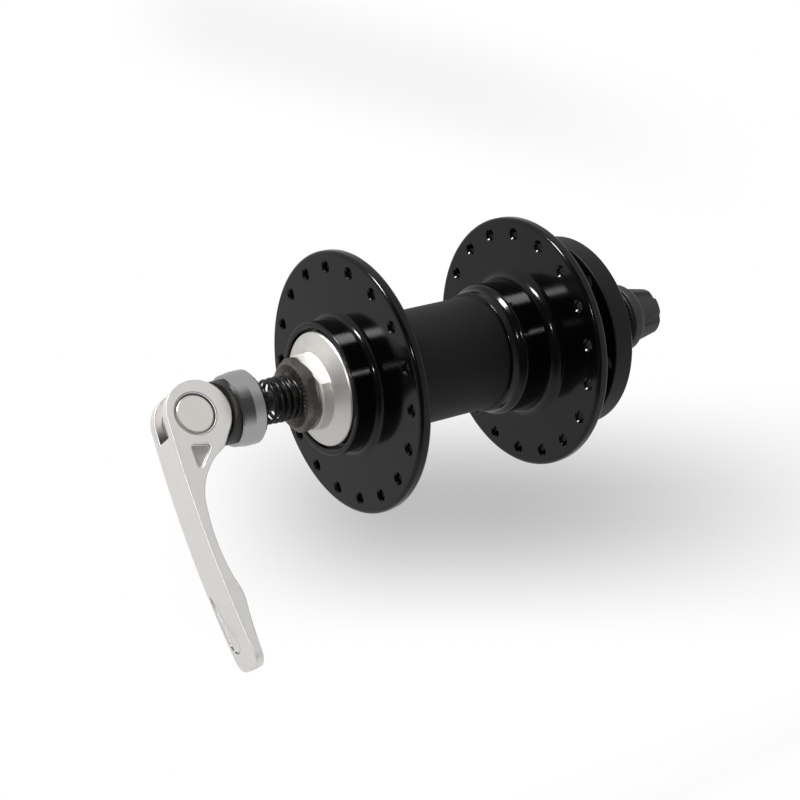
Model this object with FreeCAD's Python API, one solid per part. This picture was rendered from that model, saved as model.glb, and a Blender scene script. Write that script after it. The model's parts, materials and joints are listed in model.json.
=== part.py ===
# Bicycle front hub for a six-bolt disc brake, with a quick release skewer.
# Millimetres. The origin is the middle of the axle, half way between the two faces that the
# fork grips. +Y runs along the axle to the brake side, +X along the lever's pivot, +Z up.

import FreeCAD, Part
import math
import os

from FreeCAD import Vector

# Shared allowances

EDGE_BREAK = 0.4
FINE_ROUND = 1.7
OVERRUN = 1.0

# Axle and the hardware clamped on it

OVER_LOCKNUT = 100.0
AXLE_STUB = 4.0
AXLE_DIAMETER = 9.0
AXLE_CHAMFER = 0.5
KEYWAY_WIDTH = 2.0
KEYWAY_DEPTH = 0.7
THREAD_CLEARANCE = 0.02

LOCKNUT_ACROSS_FLATS = 17.0
LOCKNUT_TURNED_DIAMETER = 18.6
LOCKNUT_THICKNESS = 2.6
LOCKNUT_CHAMFER_DEPTH = 0.7
LOCKNUT_CHAMFER_WIDTH = 1.4
LOCKNUT_RECESS_DEPTH = 0.25
LOCKNUT_CORNER_ANGLE = 11.6
WASHER_DIAMETER = 16.0
WASHER_THICKNESS = 0.8

CONE_HEAD_DIAMETER = 19.2
CONE_HEAD_THICKNESS = 2.7
CONE_ACROSS_FLATS = 15.0
CONE_FLAT_ANGLE = 31.6
CONE_SEAT_DIAMETER = 17.2
CONE_NOSE_DIAMETER = 13.0
CONE_NOSE_BEYOND_BALL = 3.0

COVER_DIAMETER = 29.0
COVER_HUB_DIAMETER = 20.4
COVER_WALL = 0.8
COVER_DISH = 2.2
COVER_RIM_DEPTH = 1.3
COVER_FIT = 0.03
COVER_PROUD = 2.2
COVER_GAP = 0.85

# Bearings

BALL_DIAMETER = 4.762
BALLS_PER_SIDE = 10
BALL_PITCH_DIAMETER = 18.4
BALL_BELOW_CUP_FACE = 2.9
RACE_CLEARANCE = 0.05
CUP_DIAMETER = 27.0
CUP_LENGTH = 6.6
CUP_MOUTH_DIAMETER = 24.8
CUP_RACE_DIAMETER = 23.0
CUP_THROAT_DIAMETER = 16.4
CUP_RACE_LEVEL = 1.2
CUP_THROAT_LEVEL = 2.0
CUP_CHAMFER = 0.6
CUP_PRESS_FIT = 0.02
RETAINER_WEB = 0.5
RETAINER_GAP = 0.3
RETAINER_WALL = 1.5
RETAINER_POCKET_CLEARANCE = 0.12
RETAINER_FINGER_LENGTH = 2.8

# Hub shell

SHELL_BORE = 22.0
COVER_BORE_DEPTH = 2.2
SHELL_LIP = 0.3

BARREL_DIAMETER = 30.0
BOSS_WALL = 1.55
BOSS_HEIGHT = 6.95
BOSS_FILLET = 1.9

SPOKE_CIRCLE = 59.0
SPOKES_PER_FLANGE = 18
SPOKE_HOLE = 2.6
LEFT_HOLE_ANGLE = 6.7
FLANGE_MARGIN = 4.1
FLANGE_THICKNESS = 3.2
FLANGE_ROUND = 1.0
FLANGE_BACK_FILLET = 4.0

SHOULDER_DIAMETER = 34.8
SHOULDER_LENGTH = 10.3
SHOULDER_ROUND = 1.0
SHOULDER_FILLET = 3.2
FLARE_LENGTH = 3.7
FLARE_HOLLOW_LENGTH = 2.5
FLARE_HOLLOW = 1.8
FLARE_STEP = 0.9
FLARE_STEP_LENGTH = 0.25
FLARE_RISE = 0.2

ROTOR_FACE_TO_LOCKNUT = 10.5
ROTOR_BOLT_CIRCLE = 44.0
ROTOR_BOLTS = 6
ROTOR_TAP_DRILL = 4.2
ROTOR_BOLT_ANGLE = 16.7
ROTOR_MOUNT_MARGIN = 3.9
ROTOR_MOUNT_THICKNESS = 6.3
ROTOR_MOUNT_CHAMFER = 0.7
ROTOR_PILOT_DIAMETER = 34.9
GROOVE_WIDTH = 9.3
GROOVE_DIAMETER = 38.0
GROOVE_FILLET = 2.0

# Quick release skewer

ROD_DIAMETER = 5.0
ROD_CLEARANCE = 0.25
ROD_END_BELOW_NUT = 1.2
ROD_THREAD_CLEARANCE = 0.05

GRIP_RING_DIAMETER = 17.0
GRIP_RING_THICKNESS = 1.0
GRIP_RING_PROUD = 0.44
GRIP_RING_CHAMFER = 0.25
GRIP_RING_FIT = 0.05

CUP_STANDOFF = 11.9
LEVER_CUP_RIM = 0.7
LEVER_CUP_WALL = 1.3
LEVER_CUP_LENGTH = 6.4
LEVER_CUP_TAPER = 0.5
LEVER_CUP_ROUND = 0.45

FOLLOWER_DEPTH_IN_CUP = 2.2
FOLLOWER_FLOOR = 2.94
FOLLOWER_WRAP = 2.6
FOLLOWER_GAP = 0.42
FOLLOWER_SADDLE_RADIUS = 11.5
FOLLOWER_FIT = 0.05

LEVER_HEAD_RADIUS = 8.24
LEVER_WIDTH = 11.0
CAM_OFFSET = 1.0
PIVOT_DIAMETER = 10.0
PIVOT_FIT = 0.06
PIVOT_CHAMFER = 0.6
PIVOT_RECESS = 0.1
LEVER_SLOT_BELOW = 3.6

LEVER_HEEL_DEPTH = 11.35
LEVER_HEEL_BELOW_PIVOT = 9.6
LEVER_CURVE_LENGTH = 13.0
LEVER_CURVE_BOW = 2.22
LEVER_NECK_DEPTH = 2.05
LEVER_HOLLOW_LENGTH = 17.2
LEVER_HOLLOW_BOW = 0.76
LEVER_WAIST_DEPTH = 2.7
LEVER_CREST_LENGTH = 6.6
LEVER_CREST_BOW = 0.41
LEVER_GRIP_DEPTH = 3.5
LEVER_TIP_LENGTH = 13.9
LEVER_TIP_BOW = 0.26
LEVER_TIP_SET_BACK = 1.25
LEVER_TIP_THICKNESS = 2.0
LEVER_TIP_ROUND = 3.4
LEVER_BACK_BOW = 1.32

POCKET_DEPTH = 1.3
POCKET_MARGIN = 3.35
POCKET_WIDTH = 5.6
POCKET_HEIGHT = 7.2
POCKET_BELOW_PIVOT = 6.9
POCKET_TILT = 1.0
POCKET_ROUND = 0.6

NUT_STANDOFF = 5.6
NUT_RIM = 1.0
NUT_BASE_LENGTH = 2.5
NUT_BASE_SLOPE = 0.2
NUT_SHOULDER = 2.2
NUT_LENGTH = 12.4
NUT_SPRING_ROOM = 2.56
NUT_GRIP_DIAMETER = 15.6
NUT_END_DIAMETER = 12.8
NUT_FLUTES = 6
NUT_FLUTE_START = 2.3
NUT_FLUTE_RADIUS = 1.6
NUT_FLUTE_DEPTH = 1.0
NUT_FLUTE_ANGLE = 25.4
NUT_ROUND = 0.9

SPRING_WIRE = 0.9
SPRING_GAP = 0.25
SPRING_LARGE_TURNS = 1.5
SPRING_TAPER_TURNS = 1.5
SPRING_PAST_AXLE = 0.65
SPRING_SEAT_GAP = 0.02
SPRING_POCKET_MARGIN = 0.5

# Places along the axle, each as a distance from the middle

LOCKNUT_FACE = OVER_LOCKNUT / 2
AXLE_END = LOCKNUT_FACE + AXLE_STUB
CONE_BACK = LOCKNUT_FACE - LOCKNUT_THICKNESS - WASHER_THICKNESS
CONE_SHOULDER = CONE_BACK - CONE_HEAD_THICKNESS
SHELL_END = CONE_SHOULDER - COVER_PROUD
CUP_OUTER_END = SHELL_END - COVER_BORE_DEPTH
CUP_INNER_END = CUP_OUTER_END - CUP_LENGTH
BALL_OFFSET = CUP_OUTER_END - BALL_BELOW_CUP_FACE

ROTOR_FACE = LOCKNUT_FACE - ROTOR_FACE_TO_LOCKNUT
ROTOR_MOUNT_BACK = ROTOR_FACE - ROTOR_MOUNT_THICKNESS
RIGHT_FLANGE_BACK = ROTOR_MOUNT_BACK - GROOVE_WIDTH
RIGHT_FLANGE_FACE = RIGHT_FLANGE_BACK - FLANGE_THICKNESS
LEFT_FLANGE_FACE = SHELL_END - BOSS_HEIGHT
LEFT_FLANGE_BACK = LEFT_FLANGE_FACE - FLANGE_THICKNESS

CUP_FACE = LOCKNUT_FACE + CUP_STANDOFF
LEVER_CUP_MOUTH = CUP_FACE + LEVER_CUP_LENGTH
FOLLOWER_SEAT = LEVER_CUP_MOUTH - FOLLOWER_DEPTH_IN_CUP
SADDLE_FLOOR = FOLLOWER_SEAT + FOLLOWER_FLOOR
HEAD_CENTRE = SADDLE_FLOOR + FOLLOWER_GAP + LEVER_HEAD_RADIUS
LEVER_PIVOT = HEAD_CENTRE + CAM_OFFSET
LEVER_BACK = HEAD_CENTRE + LEVER_HEAD_RADIUS
NUT_FACE = LOCKNUT_FACE + NUT_STANDOFF
NUT_END = NUT_FACE + NUT_LENGTH
RING_FLOOR_DEPTH = GRIP_RING_THICKNESS - GRIP_RING_PROUD
CUP_RING_FLOOR = CUP_FACE + RING_FLOOR_DEPTH
NUT_RING_FLOOR = NUT_FACE + RING_FLOOR_DEPTH
NUT_SPRING_FLOOR = NUT_FACE + NUT_SPRING_ROOM
SPRING_SEAT = LOCKNUT_FACE - LOCKNUT_RECESS_DEPTH

# Heights along the lever, each as a distance below the pivot

LEVER_NECK = LEVER_HEEL_BELOW_PIVOT + LEVER_CURVE_LENGTH
LEVER_WAIST = LEVER_NECK + LEVER_HOLLOW_LENGTH
LEVER_GRIP = LEVER_WAIST + LEVER_CREST_LENGTH
LEVER_TIP = LEVER_GRIP + LEVER_TIP_LENGTH

# Radii that follow from the sizes

AXLE_RADIUS = AXLE_DIAMETER / 2
THREAD_RADIUS = AXLE_RADIUS + THREAD_CLEARANCE
ROD_RADIUS = ROD_DIAMETER / 2
ROD_BORE = ROD_RADIUS + ROD_CLEARANCE
BALL_RADIUS = BALL_DIAMETER / 2
PITCH_RADIUS = BALL_PITCH_DIAMETER / 2
CONE_SEAT_RADIUS = CONE_SEAT_DIAMETER / 2
COVER_RADIUS = COVER_DIAMETER / 2
SPOKE_RADIUS = SPOKE_CIRCLE / 2
GRIP_RING_RADIUS = GRIP_RING_DIAMETER / 2
LEVER_CUP_RADIUS = GRIP_RING_RADIUS + LEVER_CUP_RIM
FOLLOWER_RADIUS = LEVER_CUP_RADIUS - LEVER_CUP_WALL
PIVOT_RADIUS = PIVOT_DIAMETER / 2
SPRING_POCKET_RADIUS = AXLE_RADIUS + SPRING_GAP + SPRING_WIRE + SPRING_POCKET_MARGIN

ORIGIN = Vector(0, 0, 0)
X_AXIS = Vector(1, 0, 0)
Y_AXIS = Vector(0, 1, 0)


# Shared shapes

def beside_axle(radius, along):
    return Vector(radius, along, 0)


def rounded_face(corners, place):
    """Face inside straight sides; a corner is (u, v) or (u, v, radius of its round).

    A round finer than FINE_ROUND is drawn as the flat that joins its ends."""
    points = [place(corner[0], corner[1]) for corner in corners]
    rounds = [corner[2] if len(corner) > 2 else 0.0 for corner in corners]
    ends = []
    for index, point in enumerate(points):
        to_last = (points[index - 1] - point).normalize()
        to_next = (points[(index + 1) % len(points)] - point).normalize()
        if rounds[index] == 0.0:
            ends.append((point, None, point))
            continue
        half_angle = to_last.getAngle(to_next) / 2
        reach = rounds[index] / math.tan(half_angle)
        centre = point + (to_last + to_next).normalize() * (rounds[index] / math.sin(half_angle))
        middle = centre + (point - centre).normalize() * rounds[index]
        ends.append((point + to_last * reach, middle, point + to_next * reach))
    edges = []
    for index, (start, middle, finish) in enumerate(ends):
        if middle is not None and rounds[index] < FINE_ROUND:
            edges.append(Part.LineSegment(start, finish).toShape())
        elif middle is not None:
            edges.append(Part.Arc(start, middle, finish).toShape())
        following = ends[(index + 1) % len(ends)][0]
        if finish.distanceToPoint(following) > 1e-6:
            edges.append(Part.LineSegment(finish, following).toShape())
    return Part.Face(Part.Wire(edges))


def turned(corners):
    """Solid turned about the axle from corners given as (radius, place along the axle, round)."""
    return rounded_face(corners, beside_axle).revolve(ORIGIN, Y_AXIS, 360)


def around_axle(shape, angle):
    """Copy turned about the axle; an angle of 0 leaves it on +X and 90 brings it to +Z."""
    copy = shape.copy()
    copy.rotate(ORIGIN, Y_AXIS, -angle)
    return copy


def ring_of(shape, count, first_angle):
    return [around_axle(shape, first_angle + index * 360.0 / count) for index in range(count)]


def on_side(shape, side):
    """The right end is built first; the left one is its mirror image."""
    return shape if side > 0 else shape.mirror(ORIGIN, Y_AXIS)


# Pieces fixed to the axle

def axle():
    bore = ROD_BORE
    end = AXLE_END
    body = turned([(bore, -end), (AXLE_RADIUS - AXLE_CHAMFER, -end), (AXLE_RADIUS, -end + AXLE_CHAMFER),
                   (AXLE_RADIUS, end - AXLE_CHAMFER), (AXLE_RADIUS - AXLE_CHAMFER, end), (bore, end)])
    return body.cut(Part.makeCompound([keyway(side) for side in (-1, 1)]))


def keyway(side):
    floor = AXLE_RADIUS - KEYWAY_DEPTH
    length = AXLE_END - CONE_BACK
    corner = Vector(-KEYWAY_WIDTH / 2, CONE_BACK, floor)
    return on_side(Part.makeBox(KEYWAY_WIDTH, length, KEYWAY_DEPTH * 2, corner), side)


def locknut(side):
    inner = LOCKNUT_FACE - LOCKNUT_THICKNESS
    radius = LOCKNUT_TURNED_DIAMETER / 2
    blank = turned([(THREAD_RADIUS, inner), (radius, inner), (radius, LOCKNUT_FACE - LOCKNUT_CHAMFER_DEPTH),
                    (radius - LOCKNUT_CHAMFER_WIDTH, LOCKNUT_FACE), (SPRING_POCKET_RADIUS, LOCKNUT_FACE),
                    (SPRING_POCKET_RADIUS, SPRING_SEAT), (THREAD_RADIUS, SPRING_SEAT)])
    return on_side(blank.common(hexagon(LOCKNUT_ACROSS_FLATS, inner, LOCKNUT_FACE)), side)


def hexagon(across_flats, start, finish):
    corner_radius = across_flats / math.sqrt(3)
    corners = []
    for index in range(7):
        angle = math.radians(LOCKNUT_CORNER_ANGLE + 60 * index)
        corners.append(Vector(corner_radius * math.cos(angle), start, corner_radius * math.sin(angle)))
    return Part.Face(Part.makePolygon(corners)).extrude(Y_AXIS * (finish - start))


def lock_washer(side):
    """Ring with a tab that keys it to the groove along the axle."""
    outer = CONE_BACK + WASHER_THICKNESS
    radius = WASHER_DIAMETER / 2
    disc = turned([(THREAD_RADIUS, CONE_BACK), (radius, CONE_BACK), (radius, outer), (THREAD_RADIUS, outer)])
    width = KEYWAY_WIDTH - THREAD_CLEARANCE * 2
    foot = AXLE_RADIUS - KEYWAY_DEPTH + THREAD_CLEARANCE
    height = THREAD_RADIUS + OVERRUN - foot
    tab = Part.makeBox(width, WASHER_THICKNESS, height, Vector(-width / 2, CONE_BACK, foot))
    return on_side(disc.fuse(tab).removeSplitter(), side)


def race_groove():
    """Space that the ring of balls and its running clearance need."""
    return Part.makeTorus(PITCH_RADIUS, BALL_RADIUS + RACE_CLEARANCE, Vector(0, BALL_OFFSET, 0), Y_AXIS)


def cone(side):
    head = CONE_HEAD_DIAMETER / 2
    nose = CONE_NOSE_DIAMETER / 2
    nose_end = BALL_OFFSET - CONE_NOSE_BEYOND_BALL
    body = turned([(THREAD_RADIUS, nose_end), (nose, nose_end, EDGE_BREAK), (nose, BALL_OFFSET),
                   (CONE_SEAT_RADIUS, BALL_OFFSET + BALL_RADIUS), (CONE_SEAT_RADIUS, CONE_SHOULDER),
                   (head, CONE_SHOULDER), (head, CONE_BACK, EDGE_BREAK), (THREAD_RADIUS, CONE_BACK)])
    body = body.cut(race_groove())
    flat_corner = Vector(CONE_ACROSS_FLATS / 2, CONE_SHOULDER, -head)
    flat = Part.makeBox(head, CONE_HEAD_THICKNESS, head * 2, flat_corner)
    return on_side(body.cut(Part.makeCompound(ring_of(flat, 2, CONE_FLAT_ANGLE))), side)


def dust_cover(side):
    """Dished cover on the cone, just inside the shell's mouth."""
    inner = CONE_SEAT_RADIUS + COVER_FIT
    hub = COVER_HUB_DIAMETER / 2
    edge = CONE_SHOULDER - COVER_DISH
    back = edge - COVER_RIM_DEPTH
    body = turned([(inner, CONE_SHOULDER), (hub, CONE_SHOULDER, EDGE_BREAK), (COVER_RADIUS, edge, EDGE_BREAK),
                   (COVER_RADIUS, back), (COVER_RADIUS - COVER_WALL, back),
                   (COVER_RADIUS - COVER_WALL, edge - COVER_WALL), (hub, CONE_SHOULDER - COVER_WALL),
                   (inner, CONE_SHOULDER - COVER_WALL)])
    return on_side(body, side)


# Bearings

def bearing_cup(side):
    outer = CUP_DIAMETER / 2 - CUP_PRESS_FIT
    throat = CUP_THROAT_DIAMETER / 2
    body = turned([(CUP_MOUTH_DIAMETER / 2, CUP_OUTER_END), (outer, CUP_OUTER_END),
                   (outer, CUP_INNER_END, CUP_CHAMFER), (throat, CUP_INNER_END),
                   (throat, BALL_OFFSET - CUP_THROAT_LEVEL),
                   (CUP_RACE_DIAMETER / 2, BALL_OFFSET + CUP_RACE_LEVEL)])
    return on_side(body.cut(race_groove()), side)


def balls(side):
    ball = Part.makeSphere(BALL_RADIUS, Vector(PITCH_RADIUS, BALL_OFFSET, 0), Y_AXIS)
    return on_side(Part.makeCompound(ring_of(ball, BALLS_PER_SIDE, 0)), side)


def ball_retainer(side):
    """Crown that spaces the balls: a web outside them, and a finger between each two."""
    web = BALL_OFFSET + BALL_RADIUS + RETAINER_WEB + RETAINER_POCKET_CLEARANCE
    finger = web - RETAINER_WEB - RETAINER_FINGER_LENGTH
    inner = CONE_SEAT_RADIUS + RETAINER_GAP
    outer = inner + RETAINER_WALL
    crown = turned([(inner, web), (outer, web), (outer, finger), (inner, finger)])
    pocket_radius = BALL_RADIUS + RETAINER_POCKET_CLEARANCE
    pocket = Part.makeCylinder(pocket_radius, outer + OVERRUN, Vector(0, BALL_OFFSET, 0), X_AXIS)
    return on_side(crown.cut(ring_of(pocket, BALLS_PER_SIDE, 0)), side)


# Hub shell

def shell_profile():
    """Outline from the left mouth over the outside to the right mouth, and back through the bore."""
    barrel = BARREL_DIAMETER / 2
    mouth = COVER_RADIUS + COVER_GAP
    boss = mouth + BOSS_WALL
    rim = SPOKE_RADIUS + FLANGE_MARGIN
    shoulder = SHOULDER_DIAMETER / 2
    flare = barrel + FLARE_STEP
    mount = ROTOR_BOLT_CIRCLE / 2 + ROTOR_MOUNT_MARGIN
    pilot = ROTOR_PILOT_DIAMETER / 2
    groove = GROOVE_DIAMETER / 2
    seat = CUP_DIAMETER / 2
    bore = SHELL_BORE / 2
    flare_end = RIGHT_FLANGE_FACE - SHOULDER_LENGTH
    flare_start = flare_end - FLARE_LENGTH

    left_end = [(mouth + SHELL_LIP, -SHELL_END), (boss, -SHELL_END, EDGE_BREAK),
                (boss, -LEFT_FLANGE_FACE, BOSS_FILLET)]
    left_flange = [(rim, -LEFT_FLANGE_FACE, FLANGE_ROUND), (rim, -LEFT_FLANGE_BACK, FLANGE_ROUND),
                   (barrel, -LEFT_FLANGE_BACK, FLANGE_BACK_FILLET)]
    shoulder_rise = [(barrel, flare_start), (flare, flare_start + FLARE_STEP_LENGTH),
                     (flare + FLARE_RISE, flare_start + FLARE_HOLLOW_LENGTH, FLARE_HOLLOW),
                     (shoulder, flare_end, SHOULDER_ROUND), (shoulder, RIGHT_FLANGE_FACE, SHOULDER_FILLET)]
    right_flange = [(rim, RIGHT_FLANGE_FACE, FLANGE_ROUND), (rim, RIGHT_FLANGE_BACK, FLANGE_ROUND),
                    (groove, RIGHT_FLANGE_BACK, GROOVE_FILLET), (groove, ROTOR_MOUNT_BACK, GROOVE_FILLET)]
    rotor_mount = [(mount, ROTOR_MOUNT_BACK, EDGE_BREAK), (mount, ROTOR_FACE - ROTOR_MOUNT_CHAMFER),
                   (mount - ROTOR_MOUNT_CHAMFER, ROTOR_FACE), (pilot, ROTOR_FACE),
                   (pilot, SHELL_END, EDGE_BREAK), (mouth + SHELL_LIP, SHELL_END)]
    inside = [(mouth, SHELL_END - SHELL_LIP), (mouth, CUP_OUTER_END), (seat, CUP_OUTER_END),
              (seat, CUP_INNER_END), (bore, CUP_INNER_END), (bore, -CUP_INNER_END), (seat, -CUP_INNER_END),
              (seat, -CUP_OUTER_END), (mouth, -CUP_OUTER_END), (mouth, -SHELL_END + SHELL_LIP)]
    return left_end + left_flange + shoulder_rise + right_flange + rotor_mount + inside


def drilled(diameter, radius_from_axle, start, finish):
    """Cutter for a hole along the axle that runs a little past both faces."""
    corner = Vector(radius_from_axle, start - OVERRUN, 0)
    return Part.makeCylinder(diameter / 2, finish - start + OVERRUN * 2, corner, Y_AXIS)


def hub_shell():
    left_hole = drilled(SPOKE_HOLE, SPOKE_RADIUS, -LEFT_FLANGE_FACE, -LEFT_FLANGE_BACK)
    right_hole = drilled(SPOKE_HOLE, SPOKE_RADIUS, RIGHT_FLANGE_FACE, RIGHT_FLANGE_BACK)
    tapped_hole = drilled(ROTOR_TAP_DRILL, ROTOR_BOLT_CIRCLE / 2, ROTOR_MOUNT_BACK, ROTOR_FACE)
    half_step = 180.0 / SPOKES_PER_FLANGE
    holes = ring_of(left_hole, SPOKES_PER_FLANGE, LEFT_HOLE_ANGLE)
    holes += ring_of(right_hole, SPOKES_PER_FLANGE, LEFT_HOLE_ANGLE + half_step)
    holes += ring_of(tapped_hole, ROTOR_BOLTS, ROTOR_BOLT_ANGLE)
    return turned(shell_profile()).cut(Part.makeCompound(holes))


# Quick release skewer

def skewer_rod():
    start = -LEVER_PIVOT - ROD_RADIUS
    finish = NUT_END - ROD_END_BELOW_NUT
    return turned([(0, start), (ROD_RADIUS, start, EDGE_BREAK), (ROD_RADIUS, finish, EDGE_BREAK),
                   (0, finish)])


def lever_barrel():
    """Cross pin that the lever turns on; the rod passes through its middle."""
    end = LEVER_WIDTH / 2 - PIVOT_RECESS
    flat = PIVOT_RADIUS - PIVOT_CHAMFER
    corners = [(0, -end), (flat, -end), (PIVOT_RADIUS, -end + PIVOT_CHAMFER),
               (PIVOT_RADIUS, end - PIVOT_CHAMFER), (flat, end), (0, end)]
    outline = rounded_face(corners, lambda radius, across: Vector(across, -LEVER_PIVOT + radius, 0))
    pin = outline.revolve(Vector(0, -LEVER_PIVOT, 0), X_AXIS, 360)
    hole_start = Vector(0, -LEVER_PIVOT - PIVOT_DIAMETER, 0)
    return pin.cut(Part.makeCylinder(ROD_RADIUS + THREAD_CLEARANCE, PIVOT_DIAMETER * 2, hole_start, Y_AXIS))


def on_lever(depth, height):
    """Point on the lever's side view: depth in from its straight back, height below the pivot."""
    return Vector(0, -LEVER_BACK + depth, -height)


def lever_side():
    """Side view of the arm, from the head down the back to the tip and up the hub side."""
    back_top = on_lever(0, 0)
    tip_outer = on_lever(LEVER_TIP_SET_BACK, LEVER_TIP)
    tip_inner = on_lever(LEVER_TIP_SET_BACK + LEVER_TIP_THICKNESS, LEVER_TIP)
    grip = on_lever(LEVER_GRIP_DEPTH, LEVER_GRIP)
    waist = on_lever(LEVER_WAIST_DEPTH, LEVER_WAIST)
    neck = on_lever(LEVER_NECK_DEPTH, LEVER_NECK)
    heel = on_lever(LEVER_HEEL_DEPTH, LEVER_HEEL_BELOW_PIVOT)
    head = on_lever(LEVER_HEAD_RADIUS, 0)
    edges = [bowed(back_top, tip_outer, -LEVER_BACK_BOW),
             Part.LineSegment(tip_outer, tip_inner),
             bowed(tip_inner, grip, -LEVER_TIP_BOW),
             bowed(grip, waist, LEVER_CREST_BOW),
             bowed(waist, neck, -LEVER_HOLLOW_BOW),
             bowed(neck, heel, -LEVER_CURVE_BOW),
             Part.LineSegment(heel, tangent_from(heel, head, LEVER_HEAD_RADIUS)),
             Part.LineSegment(tangent_from(heel, head, LEVER_HEAD_RADIUS), head),
             Part.LineSegment(head, back_top)]
    return Part.Face(Part.Wire([edge.toShape() for edge in edges]))


def bowed(start, finish, bow):
    """Arc whose middle stands off its chord by bow, to the hub side of the lever where bow is above 0."""
    chord = finish - start
    hub_side = X_AXIS.cross(chord).normalize()
    if hub_side.y < 0:
        hub_side = hub_side * -1
    return Part.Arc(start, start + chord * 0.5 + hub_side * bow, finish)


def tangent_from(point, centre, radius):
    """Where a line from the point touches the hub side of a circle across the pivot."""
    away = point - centre
    angle = math.atan2(away.z, away.y) + math.acos(radius / away.Length)
    return centre + Vector(0, radius * math.cos(angle), radius * math.sin(angle))


def lever_front():
    """Front view of the lever: straight sides down to a rounded tip."""
    half = LEVER_WIDTH / 2
    top = LEVER_HEAD_RADIUS + OVERRUN
    behind = -LEVER_BACK - LEVER_HEAD_RADIUS
    corners = [(-half, top), (half, top), (half, -LEVER_TIP, LEVER_TIP_ROUND),
               (-half, -LEVER_TIP, LEVER_TIP_ROUND)]
    face = rounded_face(corners, lambda across, height: Vector(across, behind, height))
    return face.extrude(Y_AXIS * LEVER_HEAD_RADIUS * 4)


def lever_pocket(side):
    """Three-cornered hollow in the cheek under the pivot."""
    floor = side * (LEVER_WIDTH / 2 - POCKET_DEPTH)
    bottom = POCKET_BELOW_PIVOT + POCKET_HEIGHT
    corners = [(POCKET_MARGIN, POCKET_BELOW_PIVOT, POCKET_ROUND),
               (POCKET_MARGIN + POCKET_WIDTH, POCKET_BELOW_PIVOT + POCKET_TILT, POCKET_ROUND),
               (POCKET_MARGIN, bottom, POCKET_ROUND)]
    face = rounded_face(corners, lambda depth, height: on_lever(depth, height) + X_AXIS * floor)
    return face.extrude(X_AXIS * side * (POCKET_DEPTH + OVERRUN))


def qr_lever():
    """Lever with a round head that stands off its pivot, so that turning it draws the rod tight."""
    half = LEVER_WIDTH / 2
    arm = lever_side()
    arm.translate(X_AXIS * -half)
    head = Part.makeCylinder(LEVER_HEAD_RADIUS, LEVER_WIDTH, Vector(-half, -HEAD_CENTRE, 0), X_AXIS)
    body = arm.extrude(X_AXIS * LEVER_WIDTH).fuse(head).removeSplitter().common(lever_front())
    hole_start = Vector(-half - OVERRUN, -LEVER_PIVOT, 0)
    hole = Part.makeCylinder(PIVOT_RADIUS + PIVOT_FIT, LEVER_WIDTH + OVERRUN * 2, hole_start, X_AXIS)
    slot_width = ROD_BORE * 2
    reach = LEVER_HEAD_RADIUS * 2
    slot_corner = Vector(-ROD_BORE, -HEAD_CENTRE - reach, -LEVER_SLOT_BELOW)
    slot = Part.makeBox(slot_width, reach * 2, reach, slot_corner)
    return body.cut([hole, slot, lever_pocket(-1), lever_pocket(1)])


def cam_follower():
    """Plastic saddle between the lever's round head and the cup."""
    wrap = SADDLE_FLOOR + FOLLOWER_WRAP
    body = turned([(ROD_BORE, -wrap), (FOLLOWER_RADIUS, -wrap, EDGE_BREAK), (FOLLOWER_RADIUS, -FOLLOWER_SEAT),
                   (ROD_BORE, -FOLLOWER_SEAT)])
    side = FOLLOWER_RADIUS + OVERRUN
    saddle_centre = Vector(-side, -SADDLE_FLOOR - FOLLOWER_SADDLE_RADIUS, 0)
    return body.cut(Part.makeCylinder(FOLLOWER_SADDLE_RADIUS, side * 2, saddle_centre, X_AXIS))


def lever_cup():
    """Cup that holds the saddle on one side and the gripping ring on the other."""
    radius = LEVER_CUP_RADIUS
    recess = FOLLOWER_RADIUS + FOLLOWER_FIT
    ring = GRIP_RING_RADIUS + GRIP_RING_FIT
    taper_start = LEVER_CUP_MOUTH - LEVER_CUP_LENGTH / 2
    return turned([(recess, -LEVER_CUP_MOUTH), (radius - LEVER_CUP_TAPER, -LEVER_CUP_MOUTH, EDGE_BREAK),
                   (radius, -taper_start), (radius, -CUP_FACE, LEVER_CUP_ROUND), (ring, -CUP_FACE),
                   (ring, -CUP_RING_FLOOR), (ROD_BORE, -CUP_RING_FLOOR), (ROD_BORE, -FOLLOWER_SEAT),
                   (recess, -FOLLOWER_SEAT)])


def grip_ring(face_place, side):
    """Hardened ring that bites the fork, let into the piece behind it; the spring's end lies inside it."""
    face = face_place - GRIP_RING_PROUD
    back = face + GRIP_RING_THICKNESS
    ring = turned([(SPRING_POCKET_RADIUS, face), (GRIP_RING_RADIUS, face, GRIP_RING_CHAMFER),
                   (GRIP_RING_RADIUS, back), (SPRING_POCKET_RADIUS, back)])
    return on_side(ring, side)


def nut_flute():
    """Cutter for one groove; it leans with the taper of the grip."""
    outward = NUT_FLUTE_RADIUS - NUT_FLUTE_DEPTH
    start = Vector(NUT_GRIP_DIAMETER / 2 + outward, NUT_FACE + NUT_BASE_LENGTH + NUT_FLUTE_START, 0)
    lean = Vector(NUT_END_DIAMETER / 2 + outward, NUT_END, 0) - start
    return Part.makeCylinder(NUT_FLUTE_RADIUS, lean.Length + NUT_FLUTE_RADIUS, start, lean)


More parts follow.
